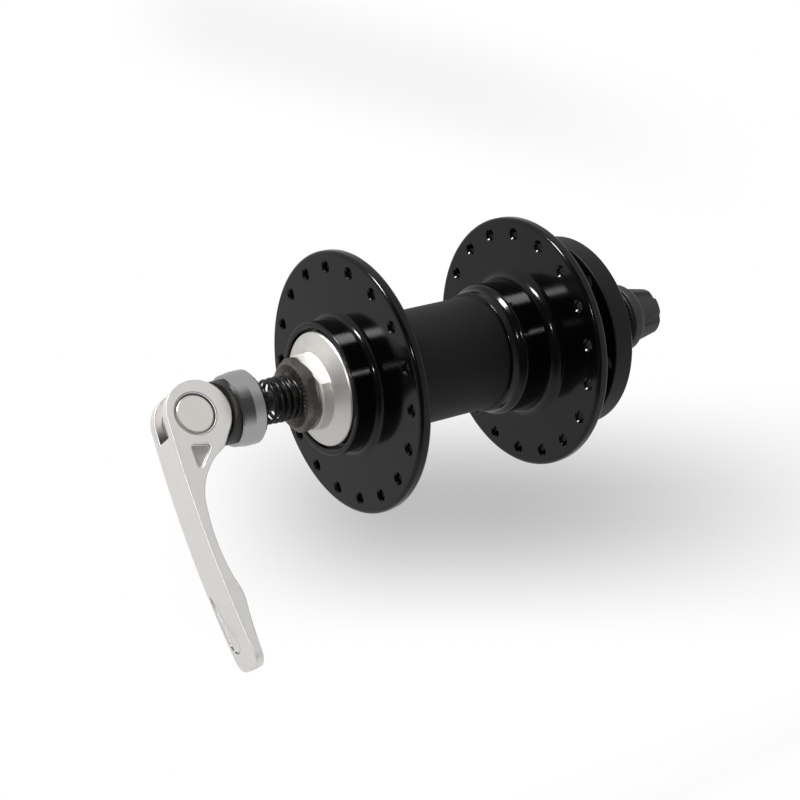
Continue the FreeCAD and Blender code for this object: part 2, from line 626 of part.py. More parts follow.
def qr_nut():
    """Nut with room for the spring behind its gripping ring."""
    bore = ROD_RADIUS + ROD_THREAD_CLEARANCE
    base = GRIP_RING_RADIUS + NUT_RIM
    base_end = NUT_FACE + NUT_BASE_LENGTH
    ring = GRIP_RING_RADIUS + GRIP_RING_FIT
    body = turned([(bore, NUT_SPRING_FLOOR), (SPRING_POCKET_RADIUS, NUT_SPRING_FLOOR),
                   (SPRING_POCKET_RADIUS, NUT_RING_FLOOR), (ring, NUT_RING_FLOOR), (ring, NUT_FACE),
                   (base, NUT_FACE, GRIP_RING_CHAMFER), (base - NUT_BASE_SLOPE, base_end, EDGE_BREAK),
                   (NUT_GRIP_DIAMETER / 2, base_end + NUT_SHOULDER, EDGE_BREAK),
                   (NUT_END_DIAMETER / 2, NUT_END, NUT_ROUND), (bore, NUT_END)])
    return body.cut(Part.makeCompound(ring_of(nut_flute(), NUT_FLUTES, NUT_FLUTE_ANGLE)))


# Conical springs, each one unbroken wire

def spring_point(turn, seat, length):
    """Middle of the wire after so many turns from the large end, on the right side.

    The large turns stand clear of the axle's end, and the wire closes in beyond it."""
    clear = SPRING_GAP + SPRING_WIRE / 2
    large = AXLE_RADIUS + clear
    small = ROD_RADIUS + clear
    over_axle = AXLE_END + SPRING_PAST_AXLE - seat
    taper = max(0.0, (turn - SPRING_LARGE_TURNS) / SPRING_TAPER_TURNS)
    radius = large + (small - large) * taper
    along = seat + over_axle * min(1.0, turn / SPRING_LARGE_TURNS) + (length - over_axle) * taper
    angle = 2 * math.pi * turn
    return Vector(radius * math.cos(angle), along, radius * math.sin(angle))


def spring_heading(turn, seat, length):
    step = 1e-4
    return (spring_point(turn + step, seat, length) - spring_point(turn - step, seat, length)).normalize()


def biarc(start, start_heading, finish, finish_heading):
    """Two arcs that leave start and reach finish along the given headings and meet smoothly."""
    chord = finish - start
    headings = start_heading + finish_heading
    a = 2 * (1 - start_heading.dot(finish_heading))
    b = 2 * chord.dot(headings)
    c = -chord.dot(chord)
    reach = (-b + math.sqrt(b * b - 4 * a * c)) / (2 * a)
    joint = (start + start_heading * reach + finish - finish_heading * reach) * 0.5
    return [arc_from(start, start_heading, joint), arc_from(finish, finish_heading * -1, joint)]


def arc_from(start, heading, finish):
    chord = finish - start
    normal = heading.cross(chord)
    to_centre = normal.cross(heading).normalize()
    radius = chord.dot(chord) / (2 * chord.dot(to_centre))
    centre = start + to_centre * radius
    middle = centre + (start + chord * 0.5 - centre).normalize() * radius
    return Part.Arc(start, middle, finish).toShape()


def spring(side, small_end):
    """Conical coil from the recess in the locknut out to small_end."""
    clear = SPRING_WIRE / 2 + SPRING_SEAT_GAP
    first = SPRING_SEAT + clear
    length = small_end - SPRING_SEAT - 2 * clear
    total = SPRING_LARGE_TURNS + SPRING_TAPER_TURNS
    steps = int(round(total * 2))
    turns = [total * index / steps for index in range(steps + 1)]
    points = [spring_point(turn, first, length) for turn in turns]
    headings = [spring_heading(turn, first, length) for turn in turns]
    for end in (0, steps):
        headings[end] = Vector(headings[end].x, 0, headings[end].z).normalize()
    lead_in = points[0] - headings[0] * SPRING_WIRE
    lead_out = points[-1] + headings[-1] * SPRING_WIRE
    edges = [Part.LineSegment(lead_in, points[0]).toShape()]
    for index in range(steps):
        edges += biarc(points[index], headings[index], points[index + 1], headings[index + 1])
    edges.append(Part.LineSegment(points[-1], lead_out).toShape())
    path = Part.Wire(Part.__sortEdges__(edges))
    section = Part.Wire(Part.makeCircle(SPRING_WIRE / 2, lead_in, headings[0]))
    coil = path.makePipeShell([section], True, False)
    report_spring(side, path, coil)
    return on_side(coil, side)


def report_spring(side, path, coil):
    """Print the least space between neighbouring turns, and the volume against wire times length."""
    trail = path.discretize(Distance=SPRING_WIRE / 4)
    far_apart = int(math.pi * SPRING_WIRE / (SPRING_WIRE / 4))
    least = min(trail[low].distanceToPoint(trail[high])
                for low in range(len(trail)) for high in range(low + far_apart, len(trail)))
    expected = math.pi * (SPRING_WIRE / 2) ** 2 * path.Length
    print("spring", "left" if side < 0 else "right", "self gap %.2f mm," % (least - SPRING_WIRE),
          "volume %.2f of %.2f mm3" % (coil.Volume, expected), "valid", coil.isValid())


# Write one file for each piece

def pieces():
    yield "axle", axle()
    for name, side in (("left", -1), ("right", 1)):
        yield "locknut_" + name, locknut(side)
        yield "lock_washer_" + name, lock_washer(side)
        yield "cone_" + name, cone(side)
        yield "dust_cover_" + name, dust_cover(side)
        yield "bearing_cup_" + name, bearing_cup(side)
        yield "ball_retainer_" + name, ball_retainer(side)
        yield "balls_" + name, balls(side)
    yield "hub_shell", hub_shell()
    yield "skewer_rod", skewer_rod()
    yield "lever_barrel", lever_barrel()
    yield "qr_lever", qr_lever()
    yield "cam_follower", cam_follower()
    yield "lever_cup", lever_cup()
    yield "cup_grip_ring", grip_ring(CUP_FACE, -1)
    yield "qr_nut", qr_nut()
    yield "nut_grip_ring", grip_ring(NUT_FACE, 1)
    yield "spring_left", spring(-1, CUP_RING_FLOOR)
    yield "spring_right", spring(1, NUT_SPRING_FLOOR)


os.makedirs("parts", exist_ok=True)
for node, shape in pieces():
    solids = len(shape.Solids)
    print(node, solids, "solid(s)", "%.2f mm3" % shape.Volume, "" if shape.isValid() else "NOT VALID")
    shape.exportStep("parts/" + node + ".step")
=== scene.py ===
# Disc brake front hub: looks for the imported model
import json
import math

import bmesh
import bpy
from mathutils import Matrix, Vector


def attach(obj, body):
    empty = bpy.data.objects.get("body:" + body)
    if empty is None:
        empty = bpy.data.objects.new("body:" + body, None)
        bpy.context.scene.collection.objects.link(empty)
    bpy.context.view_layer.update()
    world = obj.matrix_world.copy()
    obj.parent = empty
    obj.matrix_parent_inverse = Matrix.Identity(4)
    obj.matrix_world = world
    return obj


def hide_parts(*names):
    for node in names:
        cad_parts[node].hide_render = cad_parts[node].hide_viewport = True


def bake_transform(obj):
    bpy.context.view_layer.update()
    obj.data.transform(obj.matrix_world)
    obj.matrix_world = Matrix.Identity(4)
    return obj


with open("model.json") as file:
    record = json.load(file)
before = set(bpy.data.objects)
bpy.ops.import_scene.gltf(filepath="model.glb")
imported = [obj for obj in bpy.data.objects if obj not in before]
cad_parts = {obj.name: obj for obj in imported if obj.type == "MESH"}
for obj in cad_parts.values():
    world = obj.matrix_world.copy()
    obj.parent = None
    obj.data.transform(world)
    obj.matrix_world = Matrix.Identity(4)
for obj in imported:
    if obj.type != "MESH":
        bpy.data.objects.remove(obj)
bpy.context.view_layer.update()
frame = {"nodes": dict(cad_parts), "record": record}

MM = 0.001


# Places and sizes, with lengths in millimetres and angles in degrees; y runs along the axle

LOCKNUT_FACE = 50.0
LOCKNUT_FLAT_RADIUS = 7.9
SPRING_SEAT = 49.75
SPRING_POCKET_RADIUS = 6.15
AXLE_END = 54.0
AXLE_RADIUS = 4.5
CUP_RING_FACE = 61.46
NUT_RING_FACE = 55.16
RING_FLAT_RADIUS = 8.2

# Sizes of the hub shell

SHELL_SIDES = 192
SHELL_SHARP_ANGLE = 28
ROUND_STEPS = 6
FLANGE_RADIUS = 33.6
FLANGE_THICKNESS = 3.2
FLANGE_ROUND = 1.0
LEFT_FLANGE_MIDDLE = -33.15
LEFT_FLANGE_OUTER = LEFT_FLANGE_MIDDLE - FLANGE_THICKNESS / 2
LEFT_FLANGE_INNER = LEFT_FLANGE_MIDDLE + FLANGE_THICKNESS / 2
RIGHT_FLANGE_MIDDLE = 22.3
RIGHT_FLANGE_INNER = RIGHT_FLANGE_MIDDLE - FLANGE_THICKNESS / 2
RIGHT_FLANGE_OUTER = RIGHT_FLANGE_MIDDLE + FLANGE_THICKNESS / 2
MOUNT_RADIUS = 25.9
MOUNT_THICKNESS = 6.3
MOUNT_CHAMFER = 0.7
MOUNT_MIDDLE = 36.35
MOUNT_INNER = MOUNT_MIDDLE - MOUNT_THICKNESS / 2
MOUNT_FACE = MOUNT_MIDDLE + MOUNT_THICKNESS / 2
DISC_STEP_RADIUS = 17.45
NECK_RADIUS = 19.0
NECK_FILLET = 2.0
BOSS_RADIUS = 16.9
BOSS_FILLET = 1.9
BARREL_RADIUS = 15.0
BARREL_FILLET = 4.0
BARREL_END = 6.7
SHOULDER_RADIUS = 17.4
SHOULDER_FILLET = 3.2
SHOULDER_FLARE = ((15.9, 6.95, 0.3), (16.1, 9.2, 1.8), (SHOULDER_RADIUS, 10.4, 1.0))
SHELL_END = 41.7
END_ROUND = 0.4
MOUTH_RADIUS = 15.35
MOUTH_FLOOR = 39.5
MOUTH_CHAMFER = 0.3
MOUTH_LIP_RADIUS = MOUTH_RADIUS + MOUTH_CHAMFER
MOUTH_LIP = SHELL_END - MOUTH_CHAMFER
CUP_SEAT_RADIUS = 13.5
CUP_SEAT_FLOOR = 32.9
BORE_RADIUS = 11.0

# Corners of the shell's section as (radius, along, round); one without a round stays sharp

SHELL_OUTLINE = [
    (MOUTH_LIP_RADIUS, -SHELL_END), (BOSS_RADIUS, -SHELL_END, END_ROUND),
    (BOSS_RADIUS, LEFT_FLANGE_OUTER, BOSS_FILLET), (FLANGE_RADIUS, LEFT_FLANGE_OUTER, FLANGE_ROUND),
    (FLANGE_RADIUS, LEFT_FLANGE_INNER, FLANGE_ROUND), (BARREL_RADIUS, LEFT_FLANGE_INNER, BARREL_FILLET),
    (BARREL_RADIUS, BARREL_END), *SHOULDER_FLARE, (SHOULDER_RADIUS, RIGHT_FLANGE_INNER, SHOULDER_FILLET),
    (FLANGE_RADIUS, RIGHT_FLANGE_INNER, FLANGE_ROUND), (FLANGE_RADIUS, RIGHT_FLANGE_OUTER, FLANGE_ROUND),
    (NECK_RADIUS, RIGHT_FLANGE_OUTER, NECK_FILLET), (NECK_RADIUS, MOUNT_INNER, NECK_FILLET),
    (MOUNT_RADIUS, MOUNT_INNER, END_ROUND), (MOUNT_RADIUS, MOUNT_FACE - MOUNT_CHAMFER),
    (MOUNT_RADIUS - MOUNT_CHAMFER, MOUNT_FACE), (DISC_STEP_RADIUS, MOUNT_FACE),
    (DISC_STEP_RADIUS, SHELL_END, END_ROUND), (MOUTH_LIP_RADIUS, SHELL_END), (MOUTH_RADIUS, MOUTH_LIP),
    (MOUTH_RADIUS, MOUTH_FLOOR), (CUP_SEAT_RADIUS, MOUTH_FLOOR), (CUP_SEAT_RADIUS, CUP_SEAT_FLOOR),
    (BORE_RADIUS, CUP_SEAT_FLOOR), (BORE_RADIUS, -CUP_SEAT_FLOOR), (CUP_SEAT_RADIUS, -CUP_SEAT_FLOOR),
    (CUP_SEAT_RADIUS, -MOUTH_FLOOR), (MOUTH_RADIUS, -MOUTH_FLOOR), (MOUTH_RADIUS, -MOUTH_LIP)]

HOLE_SIDES = 28
HOLE_COUNTERSINK = 0.4
HOLE_OVERCUT = 0.6
SPOKES_PER_FLANGE = 18
SPOKE_CIRCLE_RADIUS = 29.5
SPOKE_HOLE_RADIUS = 1.3
LEFT_HOLE_ANGLE = 6.7
RIGHT_HOLE_ANGLE = 16.7
DISC_BOLTS = 6
DISC_BOLT_RADIUS = 22.0
DISC_HOLE_RADIUS = 2.1

# Sizes of the teeth, the threads and the springs

LOCKNUT_TEETH = 42
LOCKNUT_TEETH_INNER = SPRING_POCKET_RADIUS + 0.05
LOCKNUT_TOOTH_HEIGHT = 0.22
RING_TEETH = 40
RING_TEETH_INNER = SPRING_POCKET_RADIUS + 0.1
RING_TOOTH_HEIGHT = 0.2
TOOTH_SHARE = 0.9
TOOTH_SUNK = 0.05

AXLE_PITCH = 1.0
AXLE_PLAIN_END = AXLE_END - 20.0
THREAD_LENGTH = 3.6
THREAD_RIDGE = 0.3
THREAD_SUNK = 0.16
THREAD_LEFT_START = -AXLE_END + 0.6
THREAD_RIGHT_START = SPRING_SEAT - 0.3
ROD_PITCH = 0.8
ROD_PLAIN_END = 40.0

COIL_WIRE = 0.9
COIL_WIDE = 5.5
COIL_SEAT_GAP = 0.02
COIL_SHOULDER = 5.13
COIL_SHOULDER_PLACE = 0.61
COIL_NARROW_PLACE = 0.73
COIL_SHARP_ANGLE = 60
LEFT_COIL_TURNS = 7.0
LEFT_COIL_END = 62.41
LEFT_COIL_NARROW = 3.6
RIGHT_COIL_TURNS = 4.0
RIGHT_COIL_END = 57.3
RIGHT_COIL_NARROW = 5.1

# Places and sizes of the lever

PIVOT_PLACE = -78.7
PIVOT_RADIUS = 5.0
POCKET_PLACE = (-80.9, -9.6)
POCKET_REACH = 5.0
POCKET_CHEEK = 5.3
POCKET_DEEP = 4.6
SLOT_HALF = 2.75
SLOT_FLOOR = -3.6
SLOT_SHADE = (1.6, -2.4)
LEVER_FLAT_ANGLE = 0.6
LEVER_BEVEL = 0.45
LEVER_BEVEL_ANGLE = 40
LEVER_BEVEL_STEPS = 3
LEVER_SHARP_ANGLE = 30
LEVER_METALLIC = 0.7
CREASE_END = -53.0
CREASE_FADE = 2.0

# The bare recess in the lever's back: a wedge that widens from its point at the top to a round foot

BADGE_TOP = -41.0
BADGE_FOOT = -53.4
BADGE_LEFT = -4.35
BADGE_SPREAD = 4.4
BADGE_DEPTH = 0.3
BADGE_STEPS = 16
BADGE_WALL = 0.22
BADGE_POINT = 1.5
BADGE_CUTTER_OUT = 1.5
BADGE_RAY_START = PIVOT_PLACE - 40.0
# At the recess's height only the lever's back lies beyond this place
BADGE_SIDE = PIVOT_PLACE - 5.0
# On the back, no point in this half width and below this height counts as a bevel's
BADGE_CLEAR_HALF = 4.9
BADGE_CLEAR_TOP = BADGE_TOP + 1.0

# Camera, lamps, world, floor and backdrop; tones and strengths are shares of white

CAMERA_PLACE = (353.82, -252.56, -86.06)
CAMERA_RIGHT = Vector((0.458153, 0.816944, -0.350284)).normalized()
CAMERA_UP = Vector((0.337903, 0.204420, 0.918713)).normalized()
TOWARD_CAMERA = CAMERA_RIGHT.cross(CAMERA_UP)
CAMERA_LENS = 76.323
CAMERA_SENSOR = 36.0
CAMERA_REACH = (10.0, 20000.0)
LAMP_TARGET = (0.0, -10.0, 0.0)

WHITE = (1.0, 1.0, 1.0)
WORLD_SPREAD = 0.55
WORLD_FAR_SHADE = 0.56
WORLD_NEAR_SHADE = 0.07
WORLD_TURN = (0.2, 0.75)

FLOOR_DROP = 130.0
FLOOR_REACH = 4000.0
FLOOR_TONE = (0.9, 0.9, 0.9)
FLOOR_WHITE = 0.94
FLOOR_FADE = (180.0, 420.0)

BACKDROP_DISTANCE = 1900.0
BACKDROP_SHARE = 0.4

# Painted shadow and a painted streak of shade on the backdrop as (start, full, fade, end), in half widths
# of the picture from its middle

PAINTED_SHADOW_ACROSS = (-0.6, 0.02, 0.2, 1.45)
PAINTED_SHADOW_DOWN = (0.06, -0.25, -0.26, -0.62)
PAINTED_SHADOW_GREY = 0.49
SHADE_STREAK_SLANT = 0.27
SHADE_STREAK_UP = (0.62, 0.8, 0.84, 1.02)
SHADE_STREAK_ACROSS = (-0.75, -0.45, 0.1, 0.95)
SHADE_STREAK_GREY = 0.085


# Node helpers

class Value:
    """A shader socket that can be used in sums; each operation adds its Math node."""

    def __init__(self, nodes, socket):
        self.nodes = nodes
        self.socket = socket

    def _math(self, operation, *terms):
        made = self.nodes.node("ShaderNodeMath", {"operation": operation}, dict(enumerate(terms)))
        return Value(self.nodes, made.outputs[0])

    def __add__(self, other):
        return self._math("ADD", self, other)

    def __radd__(self, other):
        return self._math("ADD", other, self)

    def __sub__(self, other):
        return self._math("SUBTRACT", self, other)

    def __rsub__(self, other):
        return self._math("SUBTRACT", other, self)

    def __mul__(self, other):
        return self._math("MULTIPLY", self, other)

    def __rmul__(self, other):
        return self._math("MULTIPLY", other, self)

    def __truediv__(self, other):
        return self._math("DIVIDE", self, other)

    def root(self):
        return self._math("SQRT", self)

    def fraction(self):
        return self._math("FRACT", self)

    def size(self):
        return self._math("ABSOLUTE", self)

    def above(self, limit):
        return self._math("GREATER_THAN", self, limit)

    def below(self, limit):
        return self._math("LESS_THAN", self, limit)

    def angle_from(self, other):
        return self._math("ARCTAN2", self, other)

    def at_most(self, other):
        return self._math("MINIMUM", self, other)

    def at_least(self, other):
        return self._math("MAXIMUM", self, other)


def hypotenuse(first, second):
    return (first * first + second * second).root()


class Nodes:
    """A node tree and the one method that adds nodes to it."""

    def __init__(self, tree):
        self.tree = tree

    def link(self, start, end):
        self.tree.links.new(start, end)

    def value(self, socket):
        return Value(self, socket)

    def fill(self, socket, value):
        """Links the value to the socket, or writes it there; a colour may come without its alpha."""
        if isinstance(value, Value):
            value = value.socket
        if isinstance(value, bpy.types.NodeSocket):
            self.link(value, socket)
        elif socket.type == "RGBA" and len(value) == 3:
            socket.default_value = (*value, 1.0)
        else:
            socket.default_value = value

    def node(self, kind, settings=None, sockets=None):
        """A new node; its settings are set first, then its sockets, found by name or by number."""
        made = self.tree.nodes.new(kind)
        for name, value in (settings or {}).items():
            setattr(made, name, value)
        for name, value in (sockets or {}).items():
            self.fill(made.inputs[name], value)
        return made


class Finish(Nodes):
    """One material's nodes, with its Principled shader and the place on the piece in millimetres."""

    def __init__(self, name):
        self.material = bpy.data.materials.new(name)
        self.material.use_nodes = True
        super().__init__(self.material.node_tree)
        self.tree.nodes.clear()
        self.output = self.node("ShaderNodeOutputMaterial")
        self.shader = self.node("ShaderNodeBsdfPrincipled")
        self.link(self.shader.outputs["BSDF"], self.output.inputs["Surface"])
        self.object_place = self.node("ShaderNodeTexCoord").outputs["Object"]
        scaled = self.node("ShaderNodeVectorMath", {"operation": "SCALE"},
                           {"Vector": self.object_place, "Scale": 1.0 / MM})
        self.place = scaled.outputs["Vector"]
        parts = self.node("ShaderNodeSeparateXYZ", {}, {"Vector": self.place})
        self.x, self.y, self.z = (self.value(parts.outputs[axis]) for axis in "XYZ")
        self.radius = hypotenuse(self.x, self.z)
        self.turn = self.z.angle_from(self.x)

    def set(self, **values):
        for name, value in values.items():
            self.fill(self.shader.inputs[name.replace("_", " ")], value)

    def attribute(self, name):
        made = self.node("ShaderNodeAttribute", {"attribute_name": name})
        return self.value(made.outputs["Fac"])

    def noise(self, scale, detail=3.0, rough=0.5, where=None):
        made = self.node("ShaderNodeTexNoise", {"noise_dimensions": "3D"},
                         {"Vector": where or self.place, "Scale": scale, "Detail": detail,
                          "Roughness": rough})
        return self.value(made.outputs[0])

    def stretched(self, x, y, z):
        """The place with each axis scaled, for streaks that run along one of them."""
        made = self.node("ShaderNodeVectorMath", {"operation": "MULTIPLY"},
                         {0: self.place, 1: (x, y, z)})
        return made.outputs["Vector"]

    def round_the_axle(self, along, outward, turn):
        """Place as (along, outward, turn), each scaled, for marks left by a lathe."""
        made = self.node("ShaderNodeCombineXYZ", {},
                         {"X": self.y * along, "Y": self.radius * outward, "Z": self.turn * turn})
        return made.outputs["Vector"]

    def ramp(self, value, low, high):
        """The value's stretch from low to high, as 0 to 1 with soft ends."""
        made = self.node("ShaderNodeMapRange", {"interpolation_type": "SMOOTHSTEP"},
                         {"Value": value, "From Min": low, "From Max": high, "To Min": 0.0, "To Max": 1.0})
        return self.value(made.outputs["Result"])

    def band(self, value, start, full, fade, end):
        """1 from full to fade, and softly down to 0 at start and end."""
        return self.ramp(value, start, full) * (1.0 - self.ramp(value, fade, end))

    def blend(self, factor, first, second):
        """Colour between first and second; a Mix node has its colours at 6 and 7 and their mix at 2."""
        made = self.node("ShaderNodeMix", {"data_type": "RGBA"}, {"Factor": factor, 6: first, 7: second})
        return made.outputs[2]

    def bump(self, height, distance):
        """Fine relief, in millimetres, that the shader's normal follows."""
        made = self.node("ShaderNodeBump", {}, {"Height": height, "Distance": distance * MM})
        self.link(made.outputs["Normal"], self.shader.inputs["Normal"])


def times(tone, share):
    """The tone made darker or lighter."""
    return tuple(part * share for part in tone)


# Finishes, one for each of the record's material slots

def black_paint():
    """Glossy black paint; the barrel and the disc mount came out of the machine with a satin skin."""
    finish = Finish("black paint")
    peel = finish.noise(1.4, 2.0)
    grain = finish.noise(9.0, 2.0)
    barrel = finish.ramp(finish.radius, BARREL_RADIUS + 0.25, BARREL_RADIUS + 0.05)
    barrel = barrel * finish.ramp(finish.y, BARREL_END + 0.9, BARREL_END - 0.1)
    barrel = barrel * finish.ramp(finish.y, LEFT_FLANGE_INNER + 2.05, LEFT_FLANGE_INNER + 3.55)
    mount = finish.ramp(finish.y, MOUNT_INNER - 0.1, MOUNT_INNER + 0.1)
    mount = mount * finish.ramp(finish.radius, NECK_RADIUS - 0.8, NECK_RADIUS + 0.4)
    chamfer = MOUNT_RADIUS - MOUNT_CHAMFER + MOUNT_FACE
    rim = finish.ramp(finish.radius + finish.y, chamfer - 0.25, chamfer - 0.1)
    mount = mount * (1.0 - rim)
    satin = barrel.at_least(mount)
    roughness = 0.13 + barrel * 0.45 + mount * 0.35 + (grain - 0.5) * 0.05
    tint = finish.blend(satin, (0.0008, 0.0009, 0.0009), (0.0022, 0.0023, 0.0022))
    finish.set(Base_Color=tint, Roughness=roughness, IOR=1.42)
    finish.bump(peel * 0.6 + grain * satin * 0.8, 0.012)
    return finish.material


def from_pin(finish):
    """Distance from the middle line of the pin that the lever turns on."""
    return hypotenuse(finish.y - PIVOT_PLACE, finish.z)


def over_crease(finish):
    """1 on the lever above the end of its crease, and softly 0 below it."""
    return finish.ramp(finish.z, CREASE_END - CREASE_FADE, CREASE_END)


def lever_painted_shade_and_edge_bands(finish):
    """Painted shade in the lever's hollows, in the gap round its pin and on its recess's walls, and darker
    bands along both sides of its bevels.
    """
    across = finish.x.size()
    # Painted shade in the gap round the pin
    pin = finish.ramp(from_pin(finish), PIVOT_RADIUS + 0.5, PIVOT_RADIUS + 0.3)
    # Painted shade in the pocket
    pocket = hypotenuse(finish.y - POCKET_PLACE[0], finish.z - POCKET_PLACE[1]).below(POCKET_REACH)
    pocket = pocket * finish.ramp(across, POCKET_CHEEK, POCKET_DEEP)
    # Painted shade deep in the slot
    slot = across.below(SLOT_HALF + 0.06) * finish.z.above(SLOT_FLOOR - 0.1)
    slot = slot * finish.ramp(finish.z, *SLOT_SHADE)
    # Darker bands along both sides of each bevel, patchy along their length
    edge = finish.attribute("edge")
    patchy = finish.ramp(finish.noise(1.3, 3.0, 0.6), 0.30, 0.50)
    edge_bands = finish.ramp(edge, 0.0, 0.15) * finish.ramp(edge, 0.85, 0.7) * (0.6 + patchy * 0.4)
    edge_bands = edge_bands * over_crease(finish)
    # Painted shade on the recess's walls
    sunk = badge_recess(finish)
    walls = sunk * (1.0 - sunk) * 3.4
    return (pin * 0.97).at_least(pocket * 0.5).at_least(slot * 0.95).at_least(edge_bands).at_least(walls)


def badge_recess(finish):
    """1 in the recess of the lever's back, with soft edges."""
    down = (BADGE_TOP - finish.z) / (BADGE_TOP - BADGE_FOOT)
    left = finish.ramp(finish.x, BADGE_LEFT - BADGE_WALL, BADGE_LEFT + BADGE_WALL)
    edge = down * BADGE_SPREAD + BADGE_LEFT
    right = finish.ramp(edge - finish.x, -BADGE_WALL, BADGE_WALL)
    wedge = left.at_most(right) * finish.z.above(BADGE_FOOT) * finish.z.below(BADGE_TOP)
    radius = BADGE_SPREAD / 2
    away = hypotenuse(finish.x - (BADGE_LEFT + radius), finish.z - BADGE_FOOT)
    foot = finish.ramp(away, radius + BADGE_WALL, radius - BADGE_WALL)
    return wedge.at_least(foot * finish.z.below(BADGE_FOOT)) * finish.y.below(BADGE_SIDE)


def pin_painted_shade(finish):
    """Painted shade from where the pin's face meets its chamfer outwards, towards the gap round the pin."""
    # Painted shade: the pin's rim is darkened towards the gap
    return finish.ramp(from_pin(finish), PIVOT_RADIUS - 0.75, PIVOT_RADIUS - 0.6) * 0.35


def painted_edge_highlight(finish):
    """1 for the painted highlight along the middle of the lever's edges and on the recess's lit wall."""
    crease = finish.ramp(finish.attribute("edge"), 0.75, 0.95) * over_crease(finish)
    left = finish.ramp(finish.x, BADGE_LEFT - 0.1, BADGE_LEFT + BADGE_WALL + 0.1)
    wall = left * (1.0 - left) * 4.0 * finish.z.above(BADGE_FOOT)
    wall = wall * finish.z.below(BADGE_TOP - BADGE_POINT) * finish.y.below(BADGE_SIDE)
    return crease.at_least(wall * 0.9)


def lever_metal(name, tone, smooth, painted_shade, painted_highlight=None):
    """Tumbled aluminium with a faint cast grain; painted_shade says where painted shade darkens it and
    painted_highlight where a highlight is painted white.
    """
    finish = Finish(name)
    cloud = finish.noise(0.18, 3.0)
    grain = finish.noise(5.5, 4.0, 0.6)
    scuff = finish.noise(1.0, 3.0, 0.55, finish.stretched(2.5, 2.5, 0.35))
    shade = finish.blend(cloud * 0.6 + scuff * 0.4, times(tone, 0.93), tone)
    # The colour is darkened towards a near-black tone wherever shade is painted
    shade = finish.blend(painted_shade(finish), shade, times(tone, 0.12))
    metallic = LEVER_METALLIC
    roughness = 0.40 - smooth + (grain - 0.5) * 0.16 + (scuff - 0.5) * 0.08
    if painted_highlight:
        # Painted highlight: white, less metallic and smoother where it lies
        highlight = painted_highlight(finish)
        shade = finish.blend(highlight, shade, WHITE)
        metallic = LEVER_METALLIC - highlight * LEVER_METALLIC
        roughness = roughness - highlight * 0.15
    finish.set(Base_Color=shade, Metallic=metallic, Roughness=roughness)
    finish.bump(grain + scuff * 0.5, 0.02 - smooth * 0.03)
    return finish.material


def turned_metal(name, tone, rough, groove=0.008, spots=0.0):
    """Metal from a lathe, with fine rings round the axle and a few dull spots."""
    finish = Finish(name)
    rings = finish.noise(1.0, 2.0, 0.6, finish.round_the_axle(14.0, 14.0, 0.35))
    cloud = finish.noise(0.35, 3.0)
    speck = finish.noise(1.6, 3.0, 0.7)
    dull = finish.ramp(speck, 0.62, 0.74) * spots
    shade = finish.blend(rings * 0.35 + cloud * 0.4, times(tone, 0.88), tone)
    shade = finish.blend(dull, shade, times(tone, 0.42))
    roughness = rough + (rings - 0.5) * 0.12 + (cloud - 0.5) * 0.1 + dull * 0.2
    finish.set(Base_Color=shade, Metallic=1.0, Roughness=roughness)
    finish.bump(rings + speck * 0.4, groove)
    return finish.material


def dark_steel(name, tone, rough, rust=0.0, metal=0.9):
    """Oxide-blacked steel, a little brown where the oxide is thin."""
    finish = Finish(name)
    cloud = finish.noise(0.9, 4.0, 0.6)
    grain = finish.noise(7.0, 3.0)
    brown = finish.ramp(cloud, 0.45, 0.75) * rust
    shade = finish.blend(cloud, times(tone, 0.75), times(tone, 1.2))
    shade = finish.blend(brown, shade, (tone[0] * 1.5, tone[1] * 1.15, tone[2] * 0.9))
    roughness = rough + (grain - 0.5) * 0.2 + brown * 0.1
    finish.set(Base_Color=shade, Metallic=metal, Roughness=roughness)
    finish.bump(grain * 0.6 + cloud * 0.6, 0.02)
    return finish.material


def threaded_steel(name, tone, rough, pitch, plain_end, both_ends):
    """Dark steel with a fine screw thread beyond its plain middle, on its right end or on both."""
    finish = Finish(name)
    grain = finish.noise(6.0, 3.0)
    turn = finish.y / pitch + finish.turn * (1.0 / (2.0 * math.pi))
    ridge = (turn.fraction() - 0.5).size() * 2.0
    away = finish.y.size() if both_ends else finish.y
    threaded = away.above(plain_end)
    # Painted shade in the thread: the colour darkens towards the bottom of each groove
    shade = finish.blend(ridge * threaded, tone, times(tone, 0.55))
    finish.set(Base_Color=shade, Metallic=0.9, Roughness=rough + (grain - 0.5) * 0.12)
    finish.bump(ridge * threaded * -1.0 + grain * 0.04, pitch * 0.35)
    return finish.material


def moulded(name, tone, rough, grain_size=6.0, depth=0.02):
    """Moulded plastic or matt paint with a fine grain."""
    finish = Finish(name)
    grain = finish.noise(grain_size, 3.0)
    cloud = finish.noise(0.5, 2.0)
    shade = finish.blend(cloud, times(tone, 0.85), times(tone, 1.15))
    finish.set(Base_Color=shade, Roughness=rough + (grain - 0.5) * 0.15)
    finish.bump(grain, depth)
    return finish.material


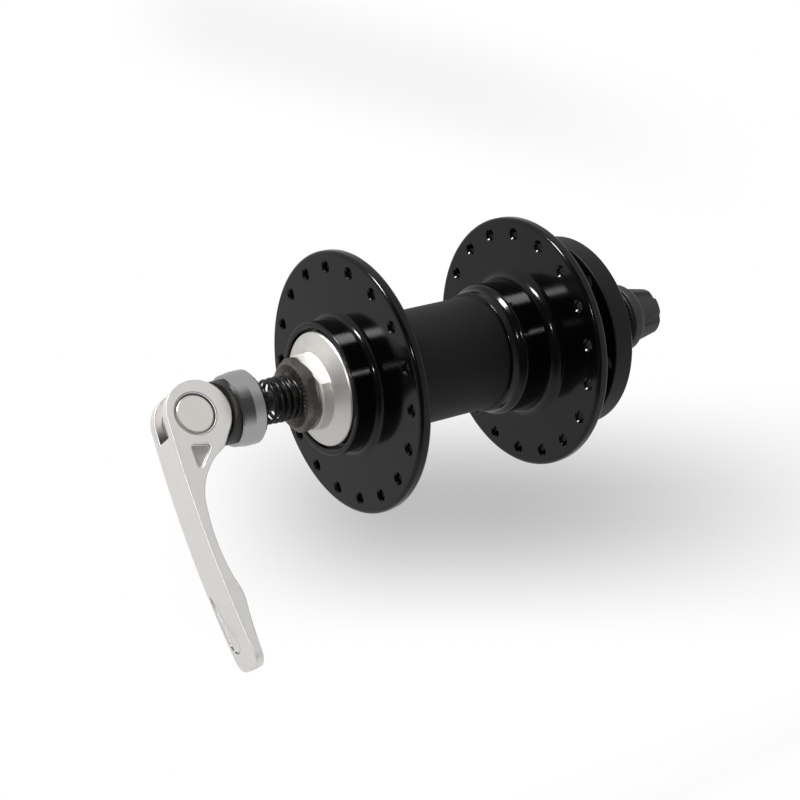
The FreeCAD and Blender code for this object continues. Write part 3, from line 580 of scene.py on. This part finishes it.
FINISHES = {
    "axle_steel": threaded_steel("axle steel", (0.05, 0.048, 0.046), rough=0.38, pitch=AXLE_PITCH,
                                 plain_end=AXLE_PLAIN_END, both_ends=True),
    "cone_steel": turned_metal("cone steel", (0.90, 0.875, 0.845), rough=0.62, groove=0.03, spots=0.9),
    "cover_aluminium": turned_metal("cover aluminium", (0.97, 0.945, 0.905), rough=0.42, groove=0.010,
                                    spots=0.6),
    "washer_steel": turned_metal("washer steel", (0.50, 0.49, 0.47), rough=0.34),
    "locknut_steel": dark_steel("locknut steel", (0.165, 0.155, 0.148), rough=0.36, rust=0.5),
    "shell_black": black_paint(),
    "bearing_steel": turned_metal("bearing steel", (0.62, 0.61, 0.60), rough=0.12, groove=0.002),
    "retainer_steel": turned_metal("retainer steel", (0.48, 0.46, 0.42), rough=0.32),
    "rod_steel": threaded_steel("rod steel", (0.10, 0.098, 0.095), rough=0.28, pitch=ROD_PITCH,
                                plain_end=ROD_PLAIN_END, both_ends=False),
    "pivot_steel": lever_metal("pivot steel", (0.95, 0.925, 0.85), smooth=0.06, painted_shade=pin_painted_shade),
    "lever_aluminium": lever_metal("lever aluminium", (0.96, 0.935, 0.905), smooth=0.0,
                                   painted_shade=lever_painted_shade_and_edge_bands, painted_highlight=painted_edge_highlight),
    "follower_plastic": moulded("follower plastic", (0.014, 0.013, 0.012), rough=0.42),
    "cup_aluminium": turned_metal("cup aluminium", (0.60, 0.595, 0.59), rough=0.12, groove=0.004,
                                  spots=0.2),
    "grip_ring_steel": dark_steel("grip ring steel", (0.05, 0.05, 0.05), rough=0.52),
    "nut_black": moulded("nut black", (0.022, 0.022, 0.0215), rough=0.5, grain_size=8.0, depth=0.015),
    "spring_steel": dark_steel("spring steel", (0.02, 0.019, 0.018), rough=0.22, metal=0.6),
}


def dress_nodes():
    """Each CAD node gets the finish that the record names for it."""
    for subpart in frame["record"]["subparts"]:
        mesh = frame["nodes"][subpart["node"]].data
        mesh.materials.clear()
        mesh.materials.append(FINISHES[subpart["material_slot"]])


# Mesh helpers

# Points closer than these distances, in metres, are made one
DOUBLE_DISTANCE = 1e-7
CAD_DOUBLE_DISTANCE = 1e-6


def new_object(name, mesh=None):
    """Object with the mesh, or with an empty one."""
    made = bpy.data.objects.new(name, mesh or bpy.data.meshes.new(name))
    bpy.context.scene.collection.objects.link(made)
    return made


def rounded(corners):
    """Closed outline of corners (u, v, round) with each round drawn as short straight runs."""
    points = []
    for index, corner in enumerate(corners):
        here = Vector(corner[:2])
        if len(corner) < 3:
            points.append(here)
            continue
        to_last = (Vector(corners[index - 1][:2]) - here).normalized()
        to_next = (Vector(corners[(index + 1) % len(corners)][:2]) - here).normalized()
        half = to_last.angle(to_next) / 2
        centre = here + (to_last + to_next).normalized() * (corner[2] / math.sin(half))
        start = here + to_last * (corner[2] / math.tan(half)) - centre
        sweep = math.pi - 2 * half
        side = 1 if start.x * (-to_last).y - start.y * (-to_last).x > 0 else -1
        count = max(2, int(ROUND_STEPS * sweep / (math.pi / 2) + 0.5))
        for step in range(count + 1):
            angle = side * sweep * step / count
            points.append(centre + Vector((start.x * math.cos(angle) - start.y * math.sin(angle),
                                           start.x * math.sin(angle) + start.y * math.cos(angle))))
    return points


def turned_mesh(name, outline, sides):
    """Closed mesh turned about the axle from an outline of (radius, along) in millimetres."""
    mesh = bpy.data.meshes.new(name)
    verts = []
    for side in range(sides):
        angle = 2 * math.pi * side / sides
        for point in outline:
            verts.append(Vector((point.x * math.cos(angle), point.y, point.x * math.sin(angle))) * MM)
    count = len(outline)
    faces = []
    for side in range(sides):
        here, there = side * count, (side + 1) % sides * count
        for index in range(count):
            following = (index + 1) % count
            faces.append((here + index, there + index, there + following, here + following))
    mesh.from_pydata(verts, [], faces)
    face_outwards(mesh)
    return mesh


def face_outwards(mesh):
    """Merges double points and turns every face outwards."""
    work = bmesh.new()
    work.from_mesh(mesh)
    bmesh.ops.remove_doubles(work, verts=work.verts, dist=DOUBLE_DISTANCE)
    bmesh.ops.recalc_face_normals(work, faces=work.faces)
    work.to_mesh(mesh)
    work.free()


def copy_of(node, name):
    """Merged copy of a CAD node's mesh as an object of its own."""
    mesh = frame["nodes"][node].data.copy()
    mesh.name = name
    work = bmesh.new()
    work.from_mesh(mesh)
    bmesh.ops.remove_doubles(work, verts=work.verts, dist=CAD_DOUBLE_DISTANCE)
    work.to_mesh(mesh)
    work.free()
    return new_object(name, mesh)


def evaluated_mesh(thing):
    """Plain mesh of what the object's modifiers make; the modifiers are removed."""
    bpy.context.view_layer.update()
    graph = bpy.context.evaluated_depsgraph_get()
    mesh = bpy.data.meshes.new_from_object(thing.evaluated_get(graph), preserve_all_data_layers=True,
                                           depsgraph=graph)
    mesh.name = thing.name
    thing.modifiers.clear()
    old = thing.data
    thing.data = mesh
    if old.users == 0:
        bpy.data.meshes.remove(old)
    return mesh


def smooth_to(mesh, degrees):
    """Smooth shading with edges left sharp where the faces turn by more than so many degrees."""
    mesh.shade_smooth()
    mesh.set_sharp_from_angle(angle=math.radians(degrees))


def even_shading(thing, degrees):
    """Smooth shading to so many degrees that stays even over large flat faces."""
    smooth_to(thing.data, degrees)
    weighted = thing.modifiers.new("even shading", "WEIGHTED_NORMAL")
    weighted.keep_sharp = True
    return evaluated_mesh(thing)


# Geometry Nodes helpers

class Recipe(Nodes):
    """A Geometry Nodes tree with named inputs, the last of them the material of what it makes."""

    def __init__(self, name, inputs):
        super().__init__(bpy.data.node_groups.new(name, "GeometryNodeTree"))
        add_socket = self.tree.interface.new_socket
        add_socket("Geometry", in_out="INPUT", socket_type="NodeSocketGeometry")
        add_socket("Geometry", in_out="OUTPUT", socket_type="NodeSocketGeometry")
        for title, kind in (*inputs.items(), ("Material", "Material")):
            add_socket(title, in_out="INPUT", socket_type="NodeSocket" + kind)
        self.start = self.node("NodeGroupInput")
        self.end = self.node("NodeGroupOutput")

    def given(self, title):
        return self.start.outputs[title]

    def finish(self, geometry):
        """Makes the copies real, gives them their material and ends the tree."""
        realized = self.node("GeometryNodeRealizeInstances", {}, {"Geometry": geometry})
        painted = self.node("GeometryNodeSetMaterial", {}, {
            "Geometry": realized.outputs[0], "Material": self.given("Material")})
        self.link(painted.outputs[0], self.end.inputs[0])
        return self

    def use_on(self, thing, **values):
        """Modifier on the object, its inputs set by the sockets' identifiers."""
        made = thing.modifiers.new(self.tree.name, "NODES")
        made.node_group = self.tree
        for item in self.tree.interface.items_tree:
            if item.in_out == "INPUT" and item.name.replace(" ", "_") in values:
                made[item.identifier] = values[item.name.replace(" ", "_")]


def ring_recipe(name, thing):
    """Recipe with the thing copied round the axle, each copy's x pointing outwards, and those copies."""
    recipe = Recipe(name, {thing: "Object", "Count": "Int", "Ring radius": "Float", "First angle": "Float",
                           "Along": "Float"})
    circle = recipe.node("GeometryNodeMeshCircle", {"fill_type": "NONE"},
                         {"Vertices": recipe.given("Count"), "Radius": recipe.given("Ring radius")})
    upright = recipe.node("GeometryNodeTransform", {}, {
        "Geometry": circle.outputs[0], "Rotation": (math.radians(90), 0.0, 0.0)})
    angle = recipe.node("ShaderNodeCombineXYZ", {}, {"Y": recipe.given("First angle")})
    shift = recipe.node("ShaderNodeCombineXYZ", {}, {"Y": recipe.given("Along")})
    placed = recipe.node("GeometryNodeTransform", {}, {
        "Geometry": upright.outputs[0], "Rotation": angle.outputs[0], "Translation": shift.outputs[0]})
    place = recipe.node("GeometryNodeInputPosition").outputs[0]
    parts = recipe.node("ShaderNodeSeparateXYZ", {}, {"Vector": place})
    outward = recipe.node("ShaderNodeCombineXYZ", {}, {"X": parts.outputs["X"], "Z": parts.outputs["Z"]})
    facing = recipe.node("FunctionNodeAxesToRotation", {"primary_axis": "X", "secondary_axis": "Y"}, {
        "Primary Axis": outward.outputs[0], "Secondary Axis": (0.0, 1.0, 0.0)})
    shape = recipe.node("GeometryNodeObjectInfo", {}, {"Object": recipe.given(thing)})
    copies = recipe.node("GeometryNodeInstanceOnPoints", {}, {
        "Points": placed.outputs[0], "Instance": shape.outputs["Geometry"], "Rotation": facing.outputs[0]})
    return recipe, copies.outputs[0]


def hole_ring():
    """Cuts a ring of holes, each shaped by the cutter object."""
    recipe, cutters = ring_recipe("ring of holes", "Cutter")
    realized = recipe.node("GeometryNodeRealizeInstances", {}, {"Geometry": cutters})
    cut = recipe.node("GeometryNodeMeshBoolean", {"operation": "DIFFERENCE", "solver": "MANIFOLD"}, {
        "Mesh 1": recipe.given("Geometry"), "Mesh 2": realized.outputs[0]})
    return recipe.finish(cut.outputs["Mesh"])


def tooth_ring():
    """A ring of radial teeth on a flat face."""
    recipe, teeth = ring_recipe("ring of teeth", "Tooth")
    return recipe.finish(teeth)


def screw_thread():
    """A ridge that winds along the axle."""
    recipe = Recipe("screw thread", {"Turns": "Float", "Radius": "Float", "Length": "Float",
                                     "Along": "Float", "Ridge": "Float"})
    spiral = recipe.node("GeometryNodeCurveSpiral", {}, {
        "Resolution": 48, "Rotations": recipe.given("Turns"), "Start Radius": recipe.given("Radius"),
        "End Radius": recipe.given("Radius"), "Height": recipe.given("Length")})
    upright = recipe.node("GeometryNodeTransform", {}, {
        "Geometry": spiral.outputs[0], "Rotation": (math.radians(-90), 0.0, 0.0)})
    shift = recipe.node("ShaderNodeCombineXYZ", {}, {"Y": recipe.given("Along")})
    placed = recipe.node("GeometryNodeTransform", {}, {
        "Geometry": upright.outputs[0], "Translation": shift.outputs[0]})
    section = recipe.node("GeometryNodeCurvePrimitiveCircle", {"mode": "RADIUS"}, {
        "Resolution": 4, "Radius": recipe.given("Ridge")})
    ridge = recipe.node("GeometryNodeCurveToMesh", {}, {
        "Curve": placed.outputs[0], "Profile Curve": section.outputs[0], "Fill Caps": True})
    return recipe.finish(ridge.outputs[0])


def conical_spring():
    """One unbroken spring: wide and nearly straight over the axle, then conical to its narrow end."""
    recipe = Recipe("conical spring", {
        "Turns": "Float", "Wide radius": "Float", "Shoulder scale": "Float", "Narrow scale": "Float",
        "Shoulder place": "Float", "Narrow place": "Float", "Length": "Float", "Along": "Float",
        "Wire": "Float", "Heading": "Float"})
    spiral = recipe.node("GeometryNodeCurveSpiral", {}, {
        "Resolution": 40, "Rotations": recipe.given("Turns"), "Start Radius": recipe.given("Wide radius"),
        "End Radius": recipe.given("Wide radius"), "Height": recipe.given("Length")})
    share = recipe.node("GeometryNodeSplineParameter").outputs["Factor"]
    over_axle = recipe.node("ShaderNodeMapRange", {"clamp": True}, {
        "Value": share, "From Min": 0.0, "From Max": recipe.given("Shoulder place"),
        "To Min": 1.0, "To Max": recipe.given("Shoulder scale")})
    past_axle = recipe.node("ShaderNodeMapRange", {"clamp": True}, {
        "Value": share, "From Min": recipe.given("Shoulder place"),
        "From Max": recipe.given("Narrow place"), "To Min": over_axle.outputs["Result"],
        "To Max": recipe.given("Narrow scale")})
    place = recipe.node("GeometryNodeInputPosition").outputs[0]
    parts = recipe.node("ShaderNodeSeparateXYZ", {}, {"Vector": place})
    level = recipe.node("ShaderNodeCombineXYZ", {}, {"X": parts.outputs["X"], "Y": parts.outputs["Y"]})
    narrowed = recipe.node("ShaderNodeVectorMath", {"operation": "SCALE"}, {
        "Vector": level.outputs[0], "Scale": past_axle.outputs["Result"]})
    height = recipe.node("ShaderNodeCombineXYZ", {}, {"Z": parts.outputs["Z"]})
    moved = recipe.node("ShaderNodeVectorMath", {"operation": "ADD"}, {
        0: narrowed.outputs[0], 1: height.outputs[0]})
    shaped = recipe.node("GeometryNodeSetPosition", {}, {
        "Geometry": spiral.outputs[0], "Position": moved.outputs[0]})
    quarter = recipe.node("ShaderNodeMath", {"operation": "MULTIPLY"}, {
        0: recipe.given("Heading"), 1: math.radians(-90)})
    tip = recipe.node("ShaderNodeCombineXYZ", {}, {"X": quarter.outputs[0]})
    shift = recipe.node("ShaderNodeCombineXYZ", {}, {"Y": recipe.given("Along")})
    placed = recipe.node("GeometryNodeTransform", {}, {
        "Geometry": shaped.outputs[0], "Rotation": tip.outputs[0], "Translation": shift.outputs[0]})
    section = recipe.node("GeometryNodeCurvePrimitiveCircle", {"mode": "RADIUS"}, {
        "Resolution": 12, "Radius": recipe.given("Wire")})
    wire = recipe.node("GeometryNodeCurveToMesh", {}, {
        "Curve": placed.outputs[0], "Profile Curve": section.outputs[0], "Fill Caps": True})
    return recipe.finish(wire.outputs[0])


# Hub shell

def hole_cutter(name, radius, thickness):
    """Spool that cuts a hole with a countersink at both faces; its axis is y."""
    half = thickness / 2
    mouth = radius + HOLE_COUNTERSINK + HOLE_OVERCUT
    outline = [Vector((0.0, -half - HOLE_OVERCUT)), Vector((mouth, -half - HOLE_OVERCUT)),
               Vector((radius, -half + HOLE_COUNTERSINK)), Vector((radius, half - HOLE_COUNTERSINK)),
               Vector((mouth, half + HOLE_OVERCUT)), Vector((0.0, half + HOLE_OVERCUT))]
    return new_object(name, turned_mesh(name, outline, HOLE_SIDES))


def make_hub_shell():
    """The painted shell with its two rings of spoke holes and the holes for the brake disc."""
    name = "hub_shell_painted"
    body = new_object(name, turned_mesh(name, rounded(SHELL_OUTLINE), SHELL_SIDES))
    recipe = hole_ring()
    spoke = hole_cutter("spoke hole cutter", SPOKE_HOLE_RADIUS, FLANGE_THICKNESS)
    disc = hole_cutter("disc hole cutter", DISC_HOLE_RADIUS, MOUNT_THICKNESS)
    rings = ((spoke, SPOKES_PER_FLANGE, SPOKE_CIRCLE_RADIUS, LEFT_HOLE_ANGLE, LEFT_FLANGE_MIDDLE),
             (spoke, SPOKES_PER_FLANGE, SPOKE_CIRCLE_RADIUS, RIGHT_HOLE_ANGLE, RIGHT_FLANGE_MIDDLE),
             (disc, DISC_BOLTS, DISC_BOLT_RADIUS, RIGHT_HOLE_ANGLE, MOUNT_MIDDLE))
    for cutter, count, radius, angle, along in rings:
        recipe.use_on(body, Cutter=cutter, Count=count, Ring_radius=radius * MM,
                      First_angle=-math.radians(angle), Along=along * MM,
                      Material=FINISHES["shell_black"])
    evaluated_mesh(body)
    even_shading(body, SHELL_SHARP_ANGLE)
    for cutter in (spoke, disc):
        bpy.data.objects.remove(cutter)
    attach(body, "shell")
    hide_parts("hub_shell")


# Hardware

def tooth_mesh(name, length, width, height):
    """Ridge with a sharp crest along x, standing up along y."""
    half, wide, sunk = length / 2 * MM, width / 2 * MM, TOOTH_SUNK * MM
    crest = height * MM
    verts = [(-half, -sunk, -wide), (half, -sunk, -wide), (half, -sunk, wide), (-half, -sunk, wide),
             (-half, crest, 0.0), (half, crest, 0.0)]
    faces = [(0, 1, 2, 3), (0, 4, 5, 1), (3, 2, 5, 4), (0, 3, 4), (1, 5, 2)]
    mesh = bpy.data.meshes.new(name)
    mesh.from_pydata(verts, [], faces)
    face_outwards(mesh)
    return mesh


def make_teeth(name, count, inner, outer, along, outward, height, finish, body):
    """Teeth round a flat face; outward is 1 where the face looks along +y."""
    width = 2 * math.pi * inner / count * TOOTH_SHARE
    tooth = new_object(name + " tooth", tooth_mesh(name + " tooth", outer - inner, width, height))
    if outward < 0:
        for vert in tooth.data.vertices:
            vert.co.y *= -1
        tooth.data.flip_normals()
    piece = new_object(name)
    tooth_ring().use_on(piece, Tooth=tooth, Count=count, Ring_radius=(inner + outer) / 2 * MM,
                        First_angle=0.0, Along=along * MM, Material=FINISHES[finish])
    evaluated_mesh(piece)
    bpy.data.objects.remove(tooth)
    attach(piece, body)


def make_serrations():
    """The teeth of both locknuts and of the gripping rings in the cup and the nut."""
    for side, outward in (("left", -1), ("right", 1)):
        make_teeth("locknut_teeth_" + side, LOCKNUT_TEETH, LOCKNUT_TEETH_INNER, LOCKNUT_FLAT_RADIUS,
                   outward * LOCKNUT_FACE, outward, LOCKNUT_TOOTH_HEIGHT, "locknut_steel", "axle_assembly")
    for name, along, outward, body in (("cup_ring_teeth", -CUP_RING_FACE, 1, "cup"),
                                       ("nut_ring_teeth", NUT_RING_FACE, -1, "nut")):
        make_teeth(name, RING_TEETH, RING_TEETH_INNER, RING_FLAT_RADIUS, along, outward,
                   RING_TOOTH_HEIGHT, "grip_ring_steel", body)


def make_threads():
    """The thread that shows on the axle's two ends."""
    recipe = screw_thread()
    for name, start in (("axle_thread_left", THREAD_LEFT_START), ("axle_thread_right", THREAD_RIGHT_START)):
        piece = new_object(name)
        recipe.use_on(piece, Turns=THREAD_LENGTH / AXLE_PITCH, Radius=(AXLE_RADIUS - THREAD_SUNK) * MM,
                      Length=THREAD_LENGTH * MM, Along=start * MM, Ridge=THREAD_RIDGE * MM,
                      Material=FINISHES["axle_steel"])
        evaluated_mesh(piece)
        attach(piece, "axle_assembly")


def make_springs():
    """The two coils, each with its wide end at its locknut."""
    recipe = conical_spring()
    for side, heading, turns, narrow, end in (
            ("left", -1, LEFT_COIL_TURNS, LEFT_COIL_NARROW, LEFT_COIL_END),
            ("right", 1, RIGHT_COIL_TURNS, RIGHT_COIL_NARROW, RIGHT_COIL_END)):
        piece = new_object("coil_" + side)
        first = SPRING_SEAT + COIL_SEAT_GAP + COIL_WIRE / 2
        length = end - COIL_WIRE / 2 - first
        recipe.use_on(piece, Turns=turns, Wide_radius=COIL_WIDE * MM,
                      Shoulder_scale=COIL_SHOULDER / COIL_WIDE, Narrow_scale=narrow / COIL_WIDE,
                      Shoulder_place=COIL_SHOULDER_PLACE, Narrow_place=COIL_NARROW_PLACE,
                      Length=length * MM, Along=heading * first * MM, Wire=COIL_WIRE / 2 * MM,
                      Heading=float(heading), Material=FINISHES["spring_steel"])
        smooth_to(evaluated_mesh(piece), COIL_SHARP_ANGLE)
        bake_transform(piece)
        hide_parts("spring_" + side)


# Lever

def soften_edges(lever):
    """Even bevel along the sharp edges; the attribute edge is 1 along a bevel's middle, 0 on the flats."""
    work = bmesh.new()
    work.from_mesh(lever.data)
    bmesh.ops.dissolve_limit(work, angle_limit=math.radians(LEVER_FLAT_ANGLE), verts=work.verts,
                             edges=work.edges, delimit={"NORMAL"})
    work.to_mesh(lever.data)
    work.free()
    # The material stands in two slots for a moment, and the second marks the bevel's faces
    lever.data.materials.clear()
    for _ in range(2):
        lever.data.materials.append(FINISHES["lever_aluminium"])
    bevel = lever.modifiers.new("edge rounding", "BEVEL")
    bevel.width = LEVER_BEVEL * MM
    bevel.segments = LEVER_BEVEL_STEPS
    bevel.limit_method = "ANGLE"
    bevel.angle_limit = math.radians(LEVER_BEVEL_ANGLE)
    bevel.miter_outer = "MITER_ARC"
    bevel.material = 1
    mesh = evaluated_mesh(lever)
    in_bevel = [1.0] * len(mesh.vertices)
    for face in mesh.polygons:
        if face.material_index == 0:
            for vertex in face.vertices:
                in_bevel[vertex] = 0.0
        face.material_index = 0
    mesh.materials.pop(index=1)
    mesh.attributes.new("edge", "FLOAT", "POINT").data.foreach_set("value", in_bevel)


def badge_cutter(lever):
    """Wedge with a round foot that reaches BADGE_DEPTH into the lever's back near its tip."""
    radius = BADGE_SPREAD / 2
    middle = BADGE_LEFT + radius
    outline = [(BADGE_LEFT, BADGE_TOP), (BADGE_LEFT, BADGE_FOOT)]
    for step in range(1, BADGE_STEPS):
        turn = math.pi * step / BADGE_STEPS
        outline.append((middle - radius * math.cos(turn), BADGE_FOOT - radius * math.sin(turn)))
    outline.append((BADGE_LEFT + BADGE_SPREAD, BADGE_FOOT))

    def back_at(height):
        start = Vector((middle, BADGE_RAY_START, height)) * MM
        hit, point, _, _ = lever.ray_cast(start, Vector((0.0, 1.0, 0.0)))
        if not hit:
            raise ValueError("the lever's back was not found")
        return point.y / MM

    high, low = back_at(BADGE_TOP), back_at(BADGE_FOOT)
    slope = (low - high) / (BADGE_FOOT - BADGE_TOP)
    verts = [Vector((x, high + slope * (z - BADGE_TOP) + depth, z)) * MM
             for depth in (-BADGE_CUTTER_OUT, BADGE_DEPTH) for x, z in outline]
    count = len(outline)
    faces = [tuple(range(count)), tuple(range(2 * count - 1, count - 1, -1))]
    for index in range(count):
        following = (index + 1) % count
        faces.append((index, following, following + count, index + count))
    mesh = bpy.data.meshes.new("badge cutter")
    mesh.from_pydata(verts, [], faces)
    face_outwards(mesh)
    return new_object("badge cutter", mesh)


def make_lever():
    """The lever with its edges rounded and the bare recess cut in its back."""
    lever = copy_of("qr_lever", "lever_polished")
    soften_edges(lever)
    bpy.context.view_layer.update()
    cutter = badge_cutter(lever)
    cut = lever.modifiers.new("badge recess", "BOOLEAN")
    cut.object = cutter
    cut.operation = "DIFFERENCE"
    cut.solver = "EXACT"
    evaluated_mesh(lever)
    bpy.data.objects.remove(cutter)
    mesh = even_shading(lever, LEVER_SHARP_ANGLE)
    # The cut gives its new points a value of their own, and the recess gets neither the painted edge
    # highlight nor the dark edge bands
    edge = mesh.attributes["edge"]
    for vertex in mesh.vertices:
        x, y, z = vertex.co / MM
        if abs(x) < BADGE_CLEAR_HALF and y < BADGE_SIDE and z < BADGE_CLEAR_TOP:
            edge.data[vertex.index].value = 0.0
    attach(lever, "lever")
    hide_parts("qr_lever")


# Camera, light and stage

def make_camera():
    data = bpy.data.cameras.new("camera")
    data.sensor_width = CAMERA_SENSOR
    data.lens = CAMERA_LENS
    data.clip_start, data.clip_end = (distance * MM for distance in CAMERA_REACH)
    camera = bpy.data.objects.new("camera", data)
    turn = Matrix((CAMERA_RIGHT, CAMERA_UP, TOWARD_CAMERA)).transposed().to_4x4()
    camera.matrix_world = Matrix.Translation(Vector(CAMERA_PLACE) * MM) @ turn
    bpy.context.scene.collection.objects.link(camera)
    bpy.context.scene.camera = camera


def area_lamp(name, place, size, power):
    """Rectangular lamp that faces the hub."""
    data = bpy.data.lights.new(name, "AREA")
    data.shape = "RECTANGLE"
    data.size, data.size_y = size[0] * MM, size[1] * MM
    data.energy = power
    lamp = bpy.data.objects.new(name, data)
    bpy.context.scene.collection.objects.link(lamp)
    lamp.location = Vector(place) * MM
    facing = lamp.location - Vector(LAMP_TARGET) * MM
    lamp.rotation_euler = facing.to_track_quat("Z", "Y").to_euler()


def make_lamps():
    area_lamp("window", place=(185.0, -270.0, 375.0), size=(120.0, 120.0), power=2.3)
    area_lamp("flash", place=(420.0, -270.0, -18.0), size=(24.0, 34.0), power=0.30)


def make_world():
    """White to the camera; its reflections are darker on the side that the photographer stood on."""
    world = bpy.data.worlds.new("studio")
    bpy.context.scene.world = world
    world.use_nodes = True
    nodes = Nodes(world.node_tree)
    nodes.tree.nodes.clear()
    path = nodes.node("ShaderNodeLightPath")
    by_camera, by_gloss, through_glass = (nodes.value(path.outputs["Is " + kind + " Ray"])
                                          for kind in ("Camera", "Glossy", "Transmission"))
    direct = by_camera.at_least(by_gloss).at_least(through_glass)
    place = nodes.node("ShaderNodeTexCoord").outputs["Generated"]
    facing = nodes.node("ShaderNodeVectorMath", {"operation": "DOT_PRODUCT"}, {0: place, 1: TOWARD_CAMERA})
    shade = nodes.node("ShaderNodeMapRange", {"interpolation_type": "SMOOTHSTEP"}, {
        "Value": facing.outputs["Value"], "From Min": WORLD_TURN[0], "From Max": WORLD_TURN[1],
        "To Min": WORLD_FAR_SHADE, "To Max": WORLD_NEAR_SHADE})
    # A Mix node of numbers has them at 2 and 3
    seen = nodes.node("ShaderNodeMix", {"data_type": "FLOAT"}, {
        0: by_camera, 2: shade.outputs["Result"], 3: 1.0})
    strength = nodes.node("ShaderNodeMix", {"data_type": "FLOAT"}, {
        0: direct, 2: WORLD_SPREAD, 3: seen.outputs[0]})
    background = nodes.node("ShaderNodeBackground", {}, {"Color": WHITE, "Strength": strength.outputs[0]})
    nodes.node("ShaderNodeOutputWorld", {}, {"Surface": background.outputs[0]})


def make_floor():
    """Floor that the camera sees nearly white, with a faint shadow of the object."""
    finish = Finish("floor white")
    finish.set(Base_Color=FLOOR_TONE, Roughness=0.9)
    white = finish.node("ShaderNodeEmission", {}, {"Color": WHITE, "Strength": 1.0})
    by_camera = finish.value(finish.node("ShaderNodeLightPath").outputs["Is Camera Ray"])
    away = hypotenuse(finish.x, finish.y)
    share = finish.ramp(away, *FLOOR_FADE) * (1.0 - FLOOR_WHITE) + FLOOR_WHITE
    mix = finish.node("ShaderNodeMixShader", {}, {
        0: share * by_camera, 1: finish.shader.outputs["BSDF"], 2: white.outputs[0]})
    finish.link(mix.outputs[0], finish.output.inputs["Surface"])
    mesh = bpy.data.meshes.new("floor")
    corners = ((-1, -1), (1, -1), (1, 1), (-1, 1))
    mesh.from_pydata([Vector((x * FLOOR_REACH, y * FLOOR_REACH, -FLOOR_DROP)) * MM for x, y in corners],
                     [], [(0, 1, 2, 3)])
    mesh.materials.append(finish.material)
    floor = new_object("floor", mesh)
    floor.visible_glossy = False


def make_backdrop():
    """White paper far behind, with a soft painted shadow under the hub and a faint slanting streak of
    painted shade above it.
    """
    distance = BACKDROP_DISTANCE * MM
    centre = Vector(CAMERA_PLACE) * MM - TOWARD_CAMERA * distance
    half = distance * BACKDROP_SHARE
    mesh = bpy.data.meshes.new("backdrop")
    corners = ((-1, -1), (1, -1), (1, 1), (-1, 1))
    mesh.from_pydata([centre + CAMERA_RIGHT * across * half + CAMERA_UP * height * half
                      for across, height in corners], [], [(0, 1, 2, 3)])
    finish = Finish("backdrop paper")
    # Across and height in half widths of the picture, from its middle
    unit = distance * (CAMERA_SENSOR / 2) / CAMERA_LENS
    across, height = (
        (finish.value(finish.node("ShaderNodeVectorMath", {"operation": "DOT_PRODUCT"},
                                  {0: finish.object_place, 1: direction}).outputs["Value"])
         - centre.dot(direction)) / unit for direction in (CAMERA_RIGHT, CAMERA_UP))
    # Painted shadow under the hub and a faint painted streak of shade above it, as grey in the paper's
    # colour
    cloud = finish.band(across, *PAINTED_SHADOW_ACROSS) * finish.band(height, *PAINTED_SHADOW_DOWN)
    shade_streak = finish.band(height + across * SHADE_STREAK_SLANT, *SHADE_STREAK_UP) * finish.band(across, *SHADE_STREAK_ACROSS)
    painted_shade_grey = cloud * PAINTED_SHADOW_GREY + shade_streak * SHADE_STREAK_GREY
    paper = finish.blend(painted_shade_grey, WHITE, (0.0, 0.0, 0.0))
    glow = finish.node("ShaderNodeEmission", {}, {"Color": paper, "Strength": 1.0})
    finish.link(glow.outputs[0], finish.output.inputs["Surface"])
    mesh.materials.append(finish.material)
    backdrop = new_object("backdrop", mesh)
    backdrop.visible_diffuse = backdrop.visible_glossy = backdrop.visible_shadow = False


# The scene

dress_nodes()
make_camera()
make_world()
make_floor()
make_backdrop()
make_lamps()
make_hub_shell()
make_serrations()
make_threads()
make_springs()
make_lever()

scene = bpy.context.scene
scene.view_settings.view_transform = "Standard"
